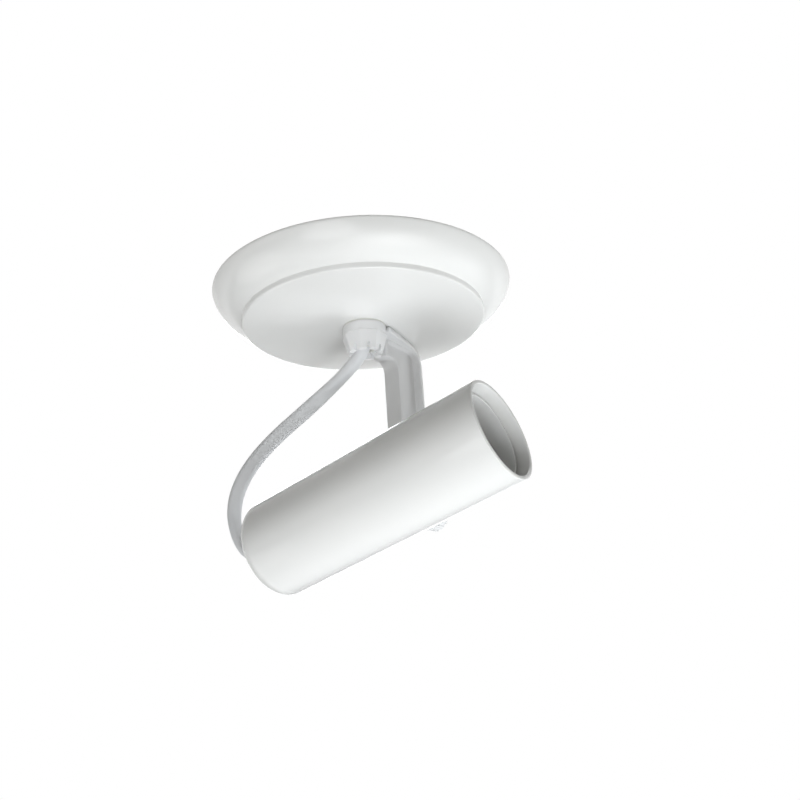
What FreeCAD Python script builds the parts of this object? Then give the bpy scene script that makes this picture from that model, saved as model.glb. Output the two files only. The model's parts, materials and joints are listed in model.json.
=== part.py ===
# Surface mounted ceiling spotlight, in millimetres.
#
# Row frame: the origin is on the ceiling, in the middle of the canopy, and +Z points up.
# +X is the side that the lamp's mouth faces, and +Y is the side where the arm hangs down.
# The head's pieces are drawn along the tube: their own +Z runs towards the mouth, their own
# origin is where the tilt axis passes the tube's centre line.
import FreeCAD, Part
import math
import os
import re
import Sketcher

Vector = FreeCAD.Vector

SIZES = {
    # canopy
    "canopy_radius": 60.0,
    "canopy_wall": 1.2,
    "rim_skirt": 0.8,
    "rim_bulge_radius": 17.5,
    "disc_radius": 48.5,
    "shoulder_drop": 12.0,
    "disc_drop": 14.3,
    "disc_edge_radius": 0.7,
    "centre_drop": 14.9,
    "centre_flat_radius": 12.0,
    # crossbar behind the canopy
    "bracket_length": 80.0,
    "bracket_width": 18.0,
    "bracket_thickness": 1.5,
    "bracket_drop": 9.0,
    "bracket_seat": 26.0,
    "bracket_slope_run": 8.0,
    "slot_spacing": 60.0,
    "slot_width": 4.6,
    "slot_length": 9.0,
    "ear_width": 12.0,
    "ear_reach": 27.0,
    # threaded tube and its nuts
    "thread_radius": 5.0,
    "thread_gap": 0.05,
    "hole_gap": 0.2,
    "nipple_wall": 1.3,
    "nipple_rise": 3.5,
    "locknut_wall": 2.0,
    "locknut_height": 3.0,
    "swivel_nut_wall": 1.6,
    "swivel_nut_height": 2.5,
    # terminal block under the crossbar's ear
    "block_length": 20.0,
    "block_width": 12.0,
    "block_height": 9.0,
    "block_offset": 20.0,
    "pole_spacing": 10.0,
    "pole_bore_radius": 2.1,
    "insert_wall": 0.5,
    "insert_radius": 2.0,
    "insert_inset": 1.0,
    "screw_gap": 0.1,
    "terminal_screw_radius": 1.3,
    "terminal_screw_bite": 0.4,
    "terminal_screw_stand": 0.4,
    "terminal_head_radius": 1.6,
    "terminal_head_height": 1.2,
    "well_gap": 0.2,
    "ceiling_gap": 0.2,
    "block_screw_radius": 1.5,
    "block_screw_head_radius": 2.7,
    "block_screw_head_height": 1.6,
    # swivel under the canopy
    "friction_washer_margin": 0.3,
    "friction_washer_thickness": 0.5,
    "foot_thickness": 4.0,
    "foot_wall": 3.5,
    "swivel_gap": 0.1,
    "wave_washer_thickness": 0.5,
    # arm
    "arm_thickness": 7.1,
    "arm_depth": 9.8,
    "root_gap": 0.6,
    "root_lap": 1.0,
    "leg_gap": 1.2,
    "leg_width": 18.1,
    "inner_bend_radius": 5.0,
    "outer_bend_radius": 8.0,
    "rib_width": 2.2,
    "pocket_depth": 1.9,
    "flange_thickness": 2.0,
    "flange_half_width": 4.4,
    "flange_stop": 14.5,
    "pivot_drop": 86.5,
    "pivot_boss_radius": 6.5,
    "boss_rise": 0.6,
    "boss_rim": 0.4,
    "cut_margin": 1.0,
    # cord grip and cord
    "grip_facets": 8,
    "nut_gap": 0.2,
    "nipple_end_gap": 0.3,
    "grip_top_wall": 1.8,
    "grip_bottom_wall": 2.8,
    "grip_length": 7.3,
    "finger_tip_wall": 1.2,
    "grip_finger_length": 3.4,
    "grip_notch_width": 2.2,
    "insert_ring_wall": 1.3,
    "insert_ring_height": 1.6,
    "cord_radius": 2.5,
    "cord_stop": 3.0,
    "cord_landing": 5.0,
    "cord_tail": 0.9,
    "lead_radius": 1.1,
    "lead_gap": 0.3,
    "lead_entry": 2.5,
    # tilt pivot and knob
    "bolt_radius": 2.5,
    "bolt_gap": 0.1,
    "bolt_head_radius": 4.75,
    "bolt_head_height": 2.6,
    "bolt_end_gap": 0.4,
    "saddle_radius": 6.0,
    "pivot_washer_radius": 5.6,
    "pivot_washer_thickness": 0.8,
    "knob_radius": 6.0,
    "knob_length": 8.4,
    "knob_crown": 1.0,
    "knob_grooves": 12,
    "knob_groove_radius": 0.6,
    "knob_collar": 1.0,
    "knob_insert_radius": 3.8,
    "knob_insert_length": 6.0,
    # head tube
    "tube_wall": 1.7,
    "tube_offset": 3.0,
    "mouth_reach": 59.0,
    "rear_reach": 51.0,
    "rear_edge_radius": 6.2,
    "head_tilt": 14.1,
    # pieces in the tube
    "ring_gap": 0.1,
    "ring_recess": 4.7,
    "ring_lip_height": 1.3,
    "ring_lip_margin": 1.1,
    "ring_width": 2.1,
    "lamp_recess": 20.5,
    "lamp_side_gap": 0.3,
    "lens_thickness": 2.0,
    "lens_gap": 0.05,
    "lens_inset": 0.3,
    "reflector_radius": 17.4,
    "reflector_wall": 1.0,
    "reflector_rim": 3.0,
    "reflector_length": 22.0,
    "reflector_hole_radius": 7.8,
    "lamp_neck_radius": 10.8,
    "lamp_base_length": 16.0,
    "lamp_base_chamfer": 1.0,
    "pin_spacing": 10.0,
    "pin_radius": 1.2,
    "pin_length": 7.0,
    "pin_foot_radius": 2.3,
    "pin_foot_height": 1.8,
    "pin_gap": 0.1,
    "holder_gap": 0.2,
    "holder_radius": 12.5,
    "holder_length": 17.0,
    "holder_chamfer": 1.5,
    "holder_chamfer_height": 2.0,
    "keyhole_gap": 0.5,
    "contact_gap": 0.1,
    "contact_thickness": 0.6,
    "strip_width": 10.0,
    "strip_thickness": 1.3,
    "strip_gap": 0.05,
    "strip_margin": 1.5,
    "holder_screw_radius": 1.5,
    "holder_screw_head_radius": 2.7,
    "holder_screw_head_height": 1.8,
    "holder_screw_spacing": 17.0,
    "holder_screw_depth": 6.0,
    "holder_screw_tip_gap": 0.5,
    "bush_gap": 0.3,
    "bush_wall": 1.2,
    "bush_fit": 0.05,
    "bush_flange_width": 2.0,
    "bush_flange_height": 1.4,
    "bush_collar_rise": 0.8,
    "bush_collar_taper": 0.5,
    "bush_collar_height": 1.2,
}

# Radii and widths that follow from the sizes above.
NIPPLE_BORE = "(thread_radius - nipple_wall)"
HOLE_RADIUS = "(thread_radius + hole_gap)"
NUT_RADIUS = "(thread_radius + swivel_nut_wall)"
NUT_ROOM = f"({NUT_RADIUS} + nut_gap)"
FOOT_RADIUS = f"({HOLE_RADIUS} + foot_wall)"
INSERT_RING_RADIUS = "(cord_radius + insert_ring_wall)"
GRIP_TOP_FLATS = f"(2*{NUT_ROOM} + 2*grip_top_wall)"
GRIP_BOTTOM_FLATS = f"(2*{INSERT_RING_RADIUS} + 2*grip_bottom_wall)"
TUBE_BORE = "(reflector_radius + lamp_side_gap)"
TUBE_RADIUS = f"({TUBE_BORE} + tube_wall)"
REAR_HOLE = "(cord_radius + bush_gap + bush_wall)"
PIN_ROOM = "(pin_foot_radius + keyhole_gap)"
LEAD_WAY = "(lead_radius + lead_gap)"
BOLT_WAY = "(bolt_radius + bolt_gap)"

# Places of the arm, measured from the swivel axis.
ARM_ROOT = f"({GRIP_TOP_FLATS}/2 + root_gap)"
LEG_INNER = f"({TUBE_RADIUS} - tube_offset + leg_gap)"
LEG_OUTER = f"({LEG_INNER} + leg_width)"
BOSS_FACE = f"({LEG_OUTER} + boss_rise)"

# Heights under the ceiling, worked out from the sizes above.
BRACKET_UNDERSIDE = "(bracket_drop + bracket_thickness)"
FOOT_TOP = "(centre_drop + friction_washer_thickness + swivel_gap)"
FOOT_UNDERSIDE = f"({FOOT_TOP} + foot_thickness)"
NUT_TOP = f"({FOOT_UNDERSIDE} + wave_washer_thickness + swivel_gap)"
NIPPLE_END = f"({NUT_TOP} + swivel_nut_height)"
GRIP_END = f"({FOOT_UNDERSIDE} + grip_length)"
FINGER_TOP = f"({GRIP_END} - grip_finger_length)"
NIPPLE_TOP = "(bracket_drop - nipple_rise)"
CORD_TOP = f"({NIPPLE_TOP} + cord_stop)"
FLANGE_END = "(pivot_drop - flange_stop)"
PAD_START = "(bracket_seat/2 + bracket_slope_run)"
BLOCK_ACROSS = f"({PAD_START} + ear_width/2)"
BLOCK_CENTRE = "(0 - block_offset)"
POLE_HEIGHT = "(0 - bracket_thickness - block_height/2)"

# Places along the tilt axis, measured from the tube's own centre line.
LEG_FACE = f"({LEG_INNER} + tube_offset)"
BOSS_END = f"({BOSS_FACE} + tube_offset)"
STRIP_OUTER = f"(sqrt({TUBE_BORE}^2 - (strip_width/2)^2) - strip_gap)"
STRIP_INNER = f"({STRIP_OUTER} - strip_thickness)"
KNOB_START = f"({BOSS_END} + pivot_washer_thickness + swivel_gap)"
KNOB_END = f"({KNOB_START} + knob_length)"

# Stations along the tube, measured from the tilt axis towards the mouth.
LAMP_FRONT = "(mouth_reach - lamp_recess)"
LENS_BACK = f"({LAMP_FRONT} - lens_thickness)"
LAMP_NECK = f"({LAMP_FRONT} - reflector_length)"
LAMP_END = f"({LAMP_NECK} - lamp_base_length)"
HOLDER_FRONT = f"({LAMP_END} - holder_gap)"
HOLDER_BACK = f"({HOLDER_FRONT} - holder_length)"
PLATE_BACK = f"({HOLDER_BACK} - strip_thickness)"
CONTACT_BACK = f"({LAMP_END} - pin_length - pin_gap - contact_thickness)"
REAR_FACE = "(0 - rear_reach)"
REAR_INSIDE = f"({REAR_FACE} + tube_wall)"
CORD_END = f"({REAR_INSIDE} + cord_tail)"

# Shape of the cord's and the leads' solids.
ARC_SHARE = 0.45
VOLUME_TOLERANCE = 0.01

doc = FreeCAD.newDocument("CeilingSpotlight")
sheet = doc.addObject("Spreadsheet::Sheet", "Sizes")
for row, (name, size) in enumerate(SIZES.items(), start=1):
    sheet.set(f"A{row}", name)
    sheet.set(f"B{row}", str(size))
    sheet.setAlias(f"B{row}", name)
doc.recompute()

NODES = []


def linked(formula):
    """The formula with each size's name pointed at its cell."""
    def link(match):
        word = match.group()
        return f"Sizes.{word}" if word in SIZES else word
    return re.sub(r"[A-Za-z_]\w*", link, str(formula))


def number(formula):
    """The present value of a formula."""
    return float(sheet.evalExpression(linked(formula)))


def bind(thing, path, formula):
    """Tie one property of an object to a formula of the sheet."""
    thing.setExpression(path, linked(formula))


def new_body(label, frame="row"):
    """An empty body for one piece, in the row's frame or along the head's tube."""
    body = doc.addObject("PartDesign::Body", label)
    body.Label = label
    place(body, frame)
    NODES.append(body)
    return body


def place(piece, frame):
    """Put a piece drawn along the tube on the tilted head; row pieces stay as drawn."""
    if frame == "row":
        return
    piece.Placement = FreeCAD.Placement(Vector(0, 0, 0), FreeCAD.Rotation(Vector(0, 1, 0), 90))
    bind(piece, "Placement.Base.y", "0 - tube_offset")
    bind(piece, "Placement.Base.z", "0 - pivot_drop")
    bind(piece, "Placement.Rotation.Angle", "(90 - head_tilt)*1deg")


def new_sketch(body, plane, offset="0"):
    """A sketch on one of the body's own planes, moved along the plane's normal."""
    sketch = body.newObject("Sketcher::SketchObject", body.Label + "_sketch")
    origin_plane = next(item for item in body.Origin.OriginFeatures if item.Role == plane)
    sketch.AttachmentSupport = [(origin_plane, "")]
    sketch.MapMode = "FlatFace"
    bind(sketch, "AttachmentOffset.Base.z", offset)
    return sketch


def pin_point(sketch, edge, end, across, up):
    """Hold one end of a sketch edge at a place given by two formulas."""
    for kind, formula in (("DistanceX", across), ("DistanceY", up)):
        constraint = Sketcher.Constraint(kind, -1, 1, edge, end, number(formula))
        index = sketch.addConstraint(constraint)
        bind(sketch, f"Constraints[{index}]", formula)


def outline(sketch, corners):
    """A closed outline through corners of two formulas each.

    A third entry makes the edge to the next corner an arc of that radius, and a fourth gives
    the side of its centre seen along the way: "left" or "right".
    """
    start_edge = sketch.GeometryCount
    points = [Vector(number(corner[0]), number(corner[1]), 0) for corner in corners]
    ends = []
    for index, corner in enumerate(corners):
        here = points[index]
        there = points[(index + 1) % len(points)]
        if len(corner) == 2:
            edge = sketch.addGeometry(Part.LineSegment(here, there), False)
            ends.append((edge, 1, 2))
            continue
        radius = number(corner[2])
        along = (there - here) / 2
        sideways = Vector(-along.y, along.x, 0).normalize()
        turn = 1 if corner[3] == "left" else -1
        centre = here + along + sideways * (turn * math.sqrt(radius**2 - along.Length**2))
        middle = centre - sideways * (turn * radius)
        edge = sketch.addGeometry(Part.Arc(here, middle, there), False)
        ends.append((edge, 1, 2) if turn > 0 else (edge, 2, 1))
    for index, (edge, first, last) in enumerate(ends):
        following = ends[(index + 1) % len(ends)]
        sketch.addConstraint(Sketcher.Constraint("Coincident", edge, last, following[0], following[1]))
        pin_point(sketch, edge, first, corners[index][0], corners[index][1])
        if len(corners[index]) > 2:
            radius_index = sketch.addConstraint(
                Sketcher.Constraint("Radius", edge, number(corners[index][2])))
            bind(sketch, f"Constraints[{radius_index}]", corners[index][2])
    assert sketch.GeometryCount == start_edge + len(corners)


def ring_line(sketch, radius, across="0", up="0"):
    """A circle with its centre and radius held by formulas."""
    centre = Vector(number(across), number(up), 0)
    edge = sketch.addGeometry(Part.Circle(centre, Vector(0, 0, 1), number(radius)), False)
    index = sketch.addConstraint(Sketcher.Constraint("Radius", edge, number(radius)))
    bind(sketch, f"Constraints[{index}]", radius)
    pin_point(sketch, edge, 3, across, up)


def box_outline(sketch, left, right, low, high):
    """A rectangle between four formulas."""
    outline(sketch, [(left, low), (right, low), (right, high), (left, high)])


def polygon(sketch, flats, sides):
    """A regular polygon about the origin, given its width across flats."""
    step = 360.0 / number(sides)
    corner = f"{flats}/2/cos({step / 2}deg)"
    outline(sketch, [(f"{corner}*cos({step * (turn + 0.5)}deg)",
                      f"{corner}*sin({step * (turn + 0.5)}deg)")
                     for turn in range(int(number(sides)))])


def extrude(body, sketch, length, cut=False, reverse=False, both_ways=False):
    """Pad or pocket a sketch by a formula's length."""
    kind = "PartDesign::Pocket" if cut else "PartDesign::Pad"
    feature = body.newObject(kind, body.Label + ("_pocket" if cut else "_pad"))
    feature.Profile = sketch
    bind(feature, "Length", length)
    feature.Reversed = reverse
    if both_ways:
        feature.SideType = "Symmetric"
    return check_change(body, feature, cut)


def turn_about(body, sketch, axis="V_Axis", cut=False):
    """Revolve or groove a sketch all the way round one of its axes."""
    kind = "PartDesign::Groove" if cut else "PartDesign::Revolution"
    feature = body.newObject(kind, body.Label + ("_groove" if cut else "_turned"))
    feature.Profile = sketch
    feature.ReferenceAxis = (sketch, [axis])
    feature.Angle = 360
    return check_change(body, feature, cut)


def check_change(body, feature, cut):
    """Recompute, and make sure that the feature added or removed material."""
    before = 0.0
    if feature.BaseFeature is not None:
        before = feature.BaseFeature.Shape.Volume
    doc.recompute()
    after = feature.Shape.Volume
    if "Invalid" in feature.State or (after >= before if cut else after <= before):
        raise RuntimeError(f"{body.Label}: {feature.Label} changed {before:.2f} to {after:.2f}")
    return feature


def repeat_round(body, feature, count, axis="Z_Axis"):
    """Repeat a feature round one of the body's axes."""
    pattern = body.newObject("PartDesign::PolarPattern", body.Label + "_pattern")
    pattern.Originals = [feature]
    origin_axis = next(item for item in body.Origin.OriginFeatures if item.Role == axis)
    pattern.Axis = (origin_axis, [""])
    pattern.Angle = 360
    bind(pattern, "Occurrences", count)
    body.Tip = pattern
    doc.recompute()
    return pattern


def mirror_over(body, features, plane):
    """Mirror features over one of the body's own planes."""
    mirrored = body.newObject("PartDesign::Mirrored", body.Label + "_mirrored")
    mirrored.Originals = features
    origin_plane = next(item for item in body.Origin.OriginFeatures if item.Role == plane)
    mirrored.MirrorPlane = (origin_plane, [""])
    body.Tip = mirrored
    doc.recompute()
    return mirrored


def turned(label, corners, frame="row"):
    """A body turned about its own Z from an outline of (radius, height) corners."""
    body = new_body(label, frame)
    sketch = new_sketch(body, "XZ_Plane")
    outline(sketch, corners)
    turn_about(body, sketch)
    return body


def washer(label, inner, outer, low, high, frame="row"):
    """A plain turned ring between two radii and two heights."""
    return turned(label, [(inner, low), (outer, low), (outer, high), (inner, high)], frame)


def solid_group(label, shape, frame="row"):
    """A node whose shape is made straight from solids, such as bent wires."""
    piece = doc.addObject("Part::Feature", label)
    piece.Label = label
    piece.Shape = shape
    place(piece, frame)
    NODES.append(piece)
    return piece


# ---------------------------------------------------------------- canopy and crossbar


def make_canopy():
    """The pressed cover: bullnose rim, step, proud disc and flat centre with its hole."""
    wall = "canopy_wall"
    turned("canopy", [
        ("canopy_radius", "0"),
        ("canopy_radius", "0 - rim_skirt", "rim_bulge_radius", "right"),
        ("disc_radius", "0 - shoulder_drop"),
        ("disc_radius", "disc_edge_radius - disc_drop", "disc_edge_radius", "right"),
        ("disc_radius - disc_edge_radius", "0 - disc_drop"),
        ("centre_flat_radius", "0 - centre_drop"),
        (HOLE_RADIUS, "0 - centre_drop"),
        (HOLE_RADIUS, f"{wall} - centre_drop"),
        ("centre_flat_radius", f"{wall} - centre_drop"),
        (f"disc_radius - {wall}", f"{wall} - disc_drop"),
        (f"disc_radius - {wall}", f"{wall} - shoulder_drop", f"rim_bulge_radius - {wall}", "left"),
        (f"canopy_radius - {wall}", "0 - rim_skirt"),
        (f"canopy_radius - {wall}", "0"),
    ])


def make_ceiling_bracket():
    """The bent strip that is screwed to the ceiling, with an ear for the terminal block."""
    body = new_body("ceiling_bracket")
    strip = new_sketch(body, "XZ_Plane")
    seat = "bracket_seat/2"
    shift = "(bracket_thickness*tan(atan(bracket_drop/bracket_slope_run)/2))"
    half = "bracket_length/2"
    top = [(half, "0"), (PAD_START, "0"), (seat, "0 - bracket_drop")]
    under = [(f"{seat} + {shift}", f"0 - {BRACKET_UNDERSIDE}"),
             (f"{PAD_START} + {shift}", "0 - bracket_thickness"),
             (half, "0 - bracket_thickness")]
    mirrored_top = [(f"0 - ({across})", up) for across, up in reversed(top)]
    mirrored_under = [(f"0 - ({across})", up) for across, up in reversed(under)]
    outline(strip, top + mirrored_top + mirrored_under + under)
    extrude(body, strip, "bracket_width", both_ways=True)
    ear = new_sketch(body, "XY_Plane", "0 - bracket_thickness")
    box_outline(ear, PAD_START, f"{PAD_START} + ear_width", "0 - ear_reach", "0")
    extrude(body, ear, "bracket_thickness")
    slot = new_sketch(body, "XY_Plane")
    slot_end = "(slot_length/2 - slot_width/2)"
    box_outline(slot, f"slot_spacing/2 - {slot_end}", f"slot_spacing/2 + {slot_end}",
                "0 - slot_width/2", "slot_width/2")
    slot_cuts = [extrude(body, slot, "bracket_thickness", cut=True)]
    for side in ("+", "-"):
        slot_round = new_sketch(body, "XY_Plane")
        ring_line(slot_round, "slot_width/2", f"slot_spacing/2 {side} {slot_end}")
        slot_cuts.append(extrude(body, slot_round, "bracket_thickness", cut=True))
    mirror_over(body, slot_cuts, "YZ_Plane")
    hole = new_sketch(body, "XY_Plane")
    ring_line(hole, "thread_radius + thread_gap")
    ring_line(hole, "block_screw_radius + screw_gap", BLOCK_ACROSS, BLOCK_CENTRE)
    extrude(body, hole, BRACKET_UNDERSIDE, cut=True)


def make_nipple():
    """The hollow threaded tube that hangs everything from the crossbar."""
    washer("nipple", NIPPLE_BORE, "thread_radius", f"0 - {NIPPLE_END}", f"0 - {NIPPLE_TOP}")


def hex_nut(label, low, high):
    """A hexagon nut round the threaded tube."""
    body = new_body(label)
    flats = new_sketch(body, "XY_Plane", low)
    polygon(flats, "2*(thread_radius + locknut_wall)", "6")
    extrude(body, flats, f"{high} - ({low})")
    bore = new_sketch(body, "XY_Plane", high)
    ring_line(bore, "thread_radius + thread_gap")
    extrude(body, bore, f"{high} - ({low})", cut=True)


def make_locknuts():
    """One nut above the crossbar, one between it and the canopy's centre."""
    hex_nut("upper_locknut", "0 - bracket_drop", "locknut_height - bracket_drop")
    hex_nut("lower_locknut", "canopy_wall - centre_drop", f"0 - {BRACKET_UNDERSIDE}")


def make_terminal_block():
    """The two-pole block hung under the crossbar's ear."""
    body = new_body("terminal_block")
    plan = new_sketch(body, "XY_Plane", "0 - bracket_thickness")
    box_outline(plan, f"{BLOCK_ACROSS} - block_width/2", f"{BLOCK_ACROSS} + block_width/2",
                f"{BLOCK_CENTRE} - block_length/2", f"{BLOCK_CENTRE} + block_length/2")
    extrude(body, plan, "block_height", reverse=True)
    bores = new_sketch(body, "YZ_Plane", f"{BLOCK_ACROSS} + block_width/2")
    both_poles(bores, "pole_bore_radius")
    extrude(body, bores, "block_width", cut=True)
    wells = new_sketch(body, "XY_Plane", "0 - bracket_thickness - block_height")
    terminal_screw_lines(wells, "terminal_head_radius + well_gap")
    extrude(body, wells, "block_height/2", cut=True, reverse=True)
    middle = new_sketch(body, "XY_Plane", "0 - bracket_thickness")
    ring_line(middle, "block_screw_radius + screw_gap", BLOCK_ACROSS, BLOCK_CENTRE)
    extrude(body, middle, "block_height", cut=True)


def both_poles(sketch, radius):
    """One circle at each of the terminal block's two wire ways."""
    for side in ("+", "-"):
        ring_line(sketch, radius, f"{BLOCK_CENTRE} {side} pole_spacing/2", POLE_HEIGHT)


def terminal_screw_lines(sketch, radius):
    """One circle at each of the four terminal screws."""
    for side in ("+", "-"):
        for offset in ("+", "-"):
            ring_line(sketch, radius, f"{BLOCK_ACROSS} {offset} block_width/4",
                      f"{BLOCK_CENTRE} {side} pole_spacing/2")


def make_terminal_inserts():
    """The two brass tubes in the terminal block, one node, with their tapped holes."""
    body = new_body("terminal_inserts")
    outside = new_sketch(body, "YZ_Plane", f"{BLOCK_ACROSS} - block_width/2 + insert_inset")
    both_poles(outside, "insert_radius")
    extrude(body, outside, "block_width - 2*insert_inset")
    bores = new_sketch(body, "YZ_Plane", f"{BLOCK_ACROSS} + block_width/2 - insert_inset")
    both_poles(bores, "insert_radius - insert_wall")
    extrude(body, bores, "block_width - 2*insert_inset", cut=True)
    taps = new_sketch(body, "XY_Plane", "0 - bracket_thickness - block_height")
    terminal_screw_lines(taps, "terminal_screw_radius + thread_gap")
    extrude(body, taps, "block_height/2", cut=True, reverse=True)


def make_terminal_screws():
    """The four clamping screws of the terminal block, one node."""
    body = new_body("terminal_screws")
    head_top = f"({POLE_HEIGHT} - insert_radius - terminal_screw_stand)"
    shanks = new_sketch(body, "XY_Plane", head_top)
    terminal_screw_lines(shanks, "terminal_screw_radius")
    extrude(body, shanks, "terminal_screw_stand + insert_wall + terminal_screw_bite")
    heads = new_sketch(body, "XY_Plane", head_top)
    terminal_screw_lines(heads, "terminal_head_radius")
    extrude(body, heads, "terminal_head_height", reverse=True)


def make_block_screw():
    """The screw that holds the terminal block to the ear."""
    body = new_body("block_screw")
    shank = new_sketch(body, "XY_Plane", "0 - bracket_thickness - block_height")
    ring_line(shank, "block_screw_radius", BLOCK_ACROSS, BLOCK_CENTRE)
    extrude(body, shank, "block_height + bracket_thickness - ceiling_gap")
    head = new_sketch(body, "XY_Plane", "0 - bracket_thickness - block_height")
    ring_line(head, "block_screw_head_radius", BLOCK_ACROSS, BLOCK_CENTRE)
    extrude(body, head, "block_screw_head_height", reverse=True)


# ---------------------------------------------------------------- swivel, arm and cord grip


def make_swivel_washers():
    """Friction washer above the foot, wave washer and round nut below it."""
    washer("friction_washer", HOLE_RADIUS, f"{FOOT_RADIUS} - friction_washer_margin",
           "0 - centre_drop - friction_washer_thickness", "0 - centre_drop")
    washer("wave_washer", HOLE_RADIUS, NUT_RADIUS,
           f"0 - {NUT_TOP}", f"wave_washer_thickness - {NUT_TOP}")
    washer("swivel_nut", "thread_radius + thread_gap", NUT_RADIUS,
           f"0 - {NIPPLE_END}", f"0 - {NUT_TOP}")


def arm_profile(inset, end):
    """Corners of the arm's L seen along X, drawn in by a margin, down to a given height."""
    top = f"0 - {FOOT_TOP} - {inset}"
    under = f"0 - {FOOT_TOP} - arm_depth + {inset}"
    outer = f"{LEG_OUTER} - {inset}"
    inner = f"{LEG_INNER} + {inset}"
    root = f"{ARM_ROOT} + {inset}"
    return [
        (root, top),
        (f"{outer} - outer_bend_radius + {inset}", top, f"outer_bend_radius - {inset}", "right"),
        (outer, f"{top} - outer_bend_radius + {inset}"),
        (outer, end),
        (inner, end),
        (inner, f"{under} - inner_bend_radius - {inset}", f"inner_bend_radius + {inset}", "left"),
        (f"{inner} - inner_bend_radius - {inset}", under),
        (root, under),
    ]


def make_arm():
    """The moulded arm: foot ring, ribbed L, wide outer flange and pivot boss."""
    body = new_body("arm")
    foot = new_sketch(body, "XY_Plane", f"0 - {FOOT_TOP}")
    ring_line(foot, FOOT_RADIUS)
    extrude(body, foot, "foot_thickness", reverse=True)
    bridge = new_sketch(body, "XY_Plane", f"0 - {FOOT_TOP}")
    box_outline(bridge, "0 - arm_thickness/2", "arm_thickness/2",
                f"{FOOT_RADIUS}/2", f"{ARM_ROOT} + root_lap")
    extrude(body, bridge, "foot_thickness", reverse=True)
    leg = new_sketch(body, "YZ_Plane")
    outline(leg, arm_profile("0", "0 - pivot_drop"))
    extrude(body, leg, "arm_thickness", both_ways=True)
    flange = new_sketch(body, "YZ_Plane")
    outline(flange, flange_band())
    extrude(body, flange, f"2*{FOOT_RADIUS}", both_ways=True)
    trim_flange(body)
    pocket = new_sketch(body, "YZ_Plane", "arm_thickness/2 - pocket_depth")
    outline(pocket, arm_profile("rib_width", "pivot_boss_radius + boss_rim - pivot_drop"))
    pocket_cut = extrude(body, pocket, "pocket_depth", cut=True, reverse=True)
    mirror_over(body, [pocket_cut], "YZ_Plane")
    boss = new_sketch(body, "XZ_Plane", f"0 - {BOSS_FACE}")
    ring_line(boss, "pivot_boss_radius", "0", "0 - pivot_drop")
    extrude(body, boss, f"{BOSS_FACE} - {LEG_INNER}")
    pivot_bore = new_sketch(body, "XZ_Plane", f"0 - {BOSS_FACE}")
    ring_line(pivot_bore, BOLT_WAY, "0", "0 - pivot_drop")
    extrude(body, pivot_bore, f"{BOSS_FACE} - {LEG_INNER}", cut=True, reverse=True)
    bore = new_sketch(body, "XY_Plane", f"0 - {FOOT_TOP}")
    ring_line(bore, HOLE_RADIUS)
    extrude(body, bore, "foot_thickness", cut=True)


def flange_band():
    """The wide rib that follows the arm's outer side, seen along X."""
    top = f"0 - {FOOT_TOP}"
    thick = "flange_thickness"
    bend = "outer_bend_radius"
    end = f"0 - {FLANGE_END}"
    return [
        (HOLE_RADIUS, top),
        (f"{LEG_OUTER} - {bend}", top, bend, "right"),
        (LEG_OUTER, f"{top} - {bend}"),
        (LEG_OUTER, end),
        (f"{LEG_OUTER} - {thick}", end),
        (f"{LEG_OUTER} - {thick}", f"{top} - {bend}", f"{bend} - {thick}", "left"),
        (f"{LEG_OUTER} - {bend}", f"{top} - {thick}"),
        (HOLE_RADIUS, f"{top} - {thick}"),
    ]


def trim_flange(body):
    """Taper the wide rib from the foot ring's width to its narrow width on the leg."""
    taper = new_sketch(body, "XY_Plane", f"0 - {FLANGE_END}")
    far = f"2*{FOOT_RADIUS}"
    beyond = f"{LEG_OUTER} + cut_margin"
    outline(taper, [(FOOT_RADIUS, "0 - cut_margin"), (far, "0 - cut_margin"), (far, beyond),
                    ("flange_half_width", beyond), ("flange_half_width", LEG_OUTER),
                    (FOOT_RADIUS, f"{FOOT_RADIUS}/2")])
    cut = extrude(body, taper, f"{FLANGE_END} - {FOOT_TOP}", cut=True, reverse=True)
    mirror_over(body, [cut], "YZ_Plane")


def make_cord_grip():
    """The faceted grip under the foot, open inside, with notched fingers round the cord."""
    body = new_body("cord_grip")
    top = new_sketch(body, "XY_Plane", f"0 - {FOOT_UNDERSIDE}")
    polygon(top, GRIP_TOP_FLATS, "grip_facets")
    bottom = new_sketch(body, "XY_Plane", f"0 - {GRIP_END}")
    polygon(bottom, GRIP_BOTTOM_FLATS, "grip_facets")
    shell = body.newObject("PartDesign::AdditiveLoft", "cord_grip_shell")
    shell.Profile = top
    shell.Sections = [bottom]
    shell.Ruled = True
    check_change(body, shell, False)
    cavity = new_sketch(body, "XZ_Plane")
    outline(cavity, [
        ("0", f"0 - {FOOT_UNDERSIDE}"),
        ("0", f"0 - {GRIP_END}"),
        (f"{GRIP_BOTTOM_FLATS}/2 - finger_tip_wall", f"0 - {GRIP_END}"),
        (INSERT_RING_RADIUS, f"0 - {FINGER_TOP} - insert_ring_height"),
        (INSERT_RING_RADIUS, f"0 - {FINGER_TOP}"),
        (NUT_ROOM, f"0 - {NIPPLE_END} - nipple_end_gap"),
        (NUT_ROOM, f"0 - {FOOT_UNDERSIDE}"),
    ])
    turn_about(body, cavity, cut=True)
    notch = new_sketch(body, "XZ_Plane")
    outline(notch, [("0 - grip_notch_width/2", f"0 - {GRIP_END}"),
                    ("grip_notch_width/2", f"0 - {GRIP_END}"),
                    ("0", f"grip_notch_width - {GRIP_END}")])
    notch_cut = extrude(body, notch, GRIP_TOP_FLATS, cut=True)
    repeat_round(body, notch_cut, "grip_facets")


def make_grip_insert():
    """The soft ring that the fingers press on the cord."""
    washer("grip_insert", "cord_radius", INSERT_RING_RADIUS,
           f"0 - {FINGER_TOP} - insert_ring_height", f"0 - {FINGER_TOP}")


# ---------------------------------------------------------------- cord and leads


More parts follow.
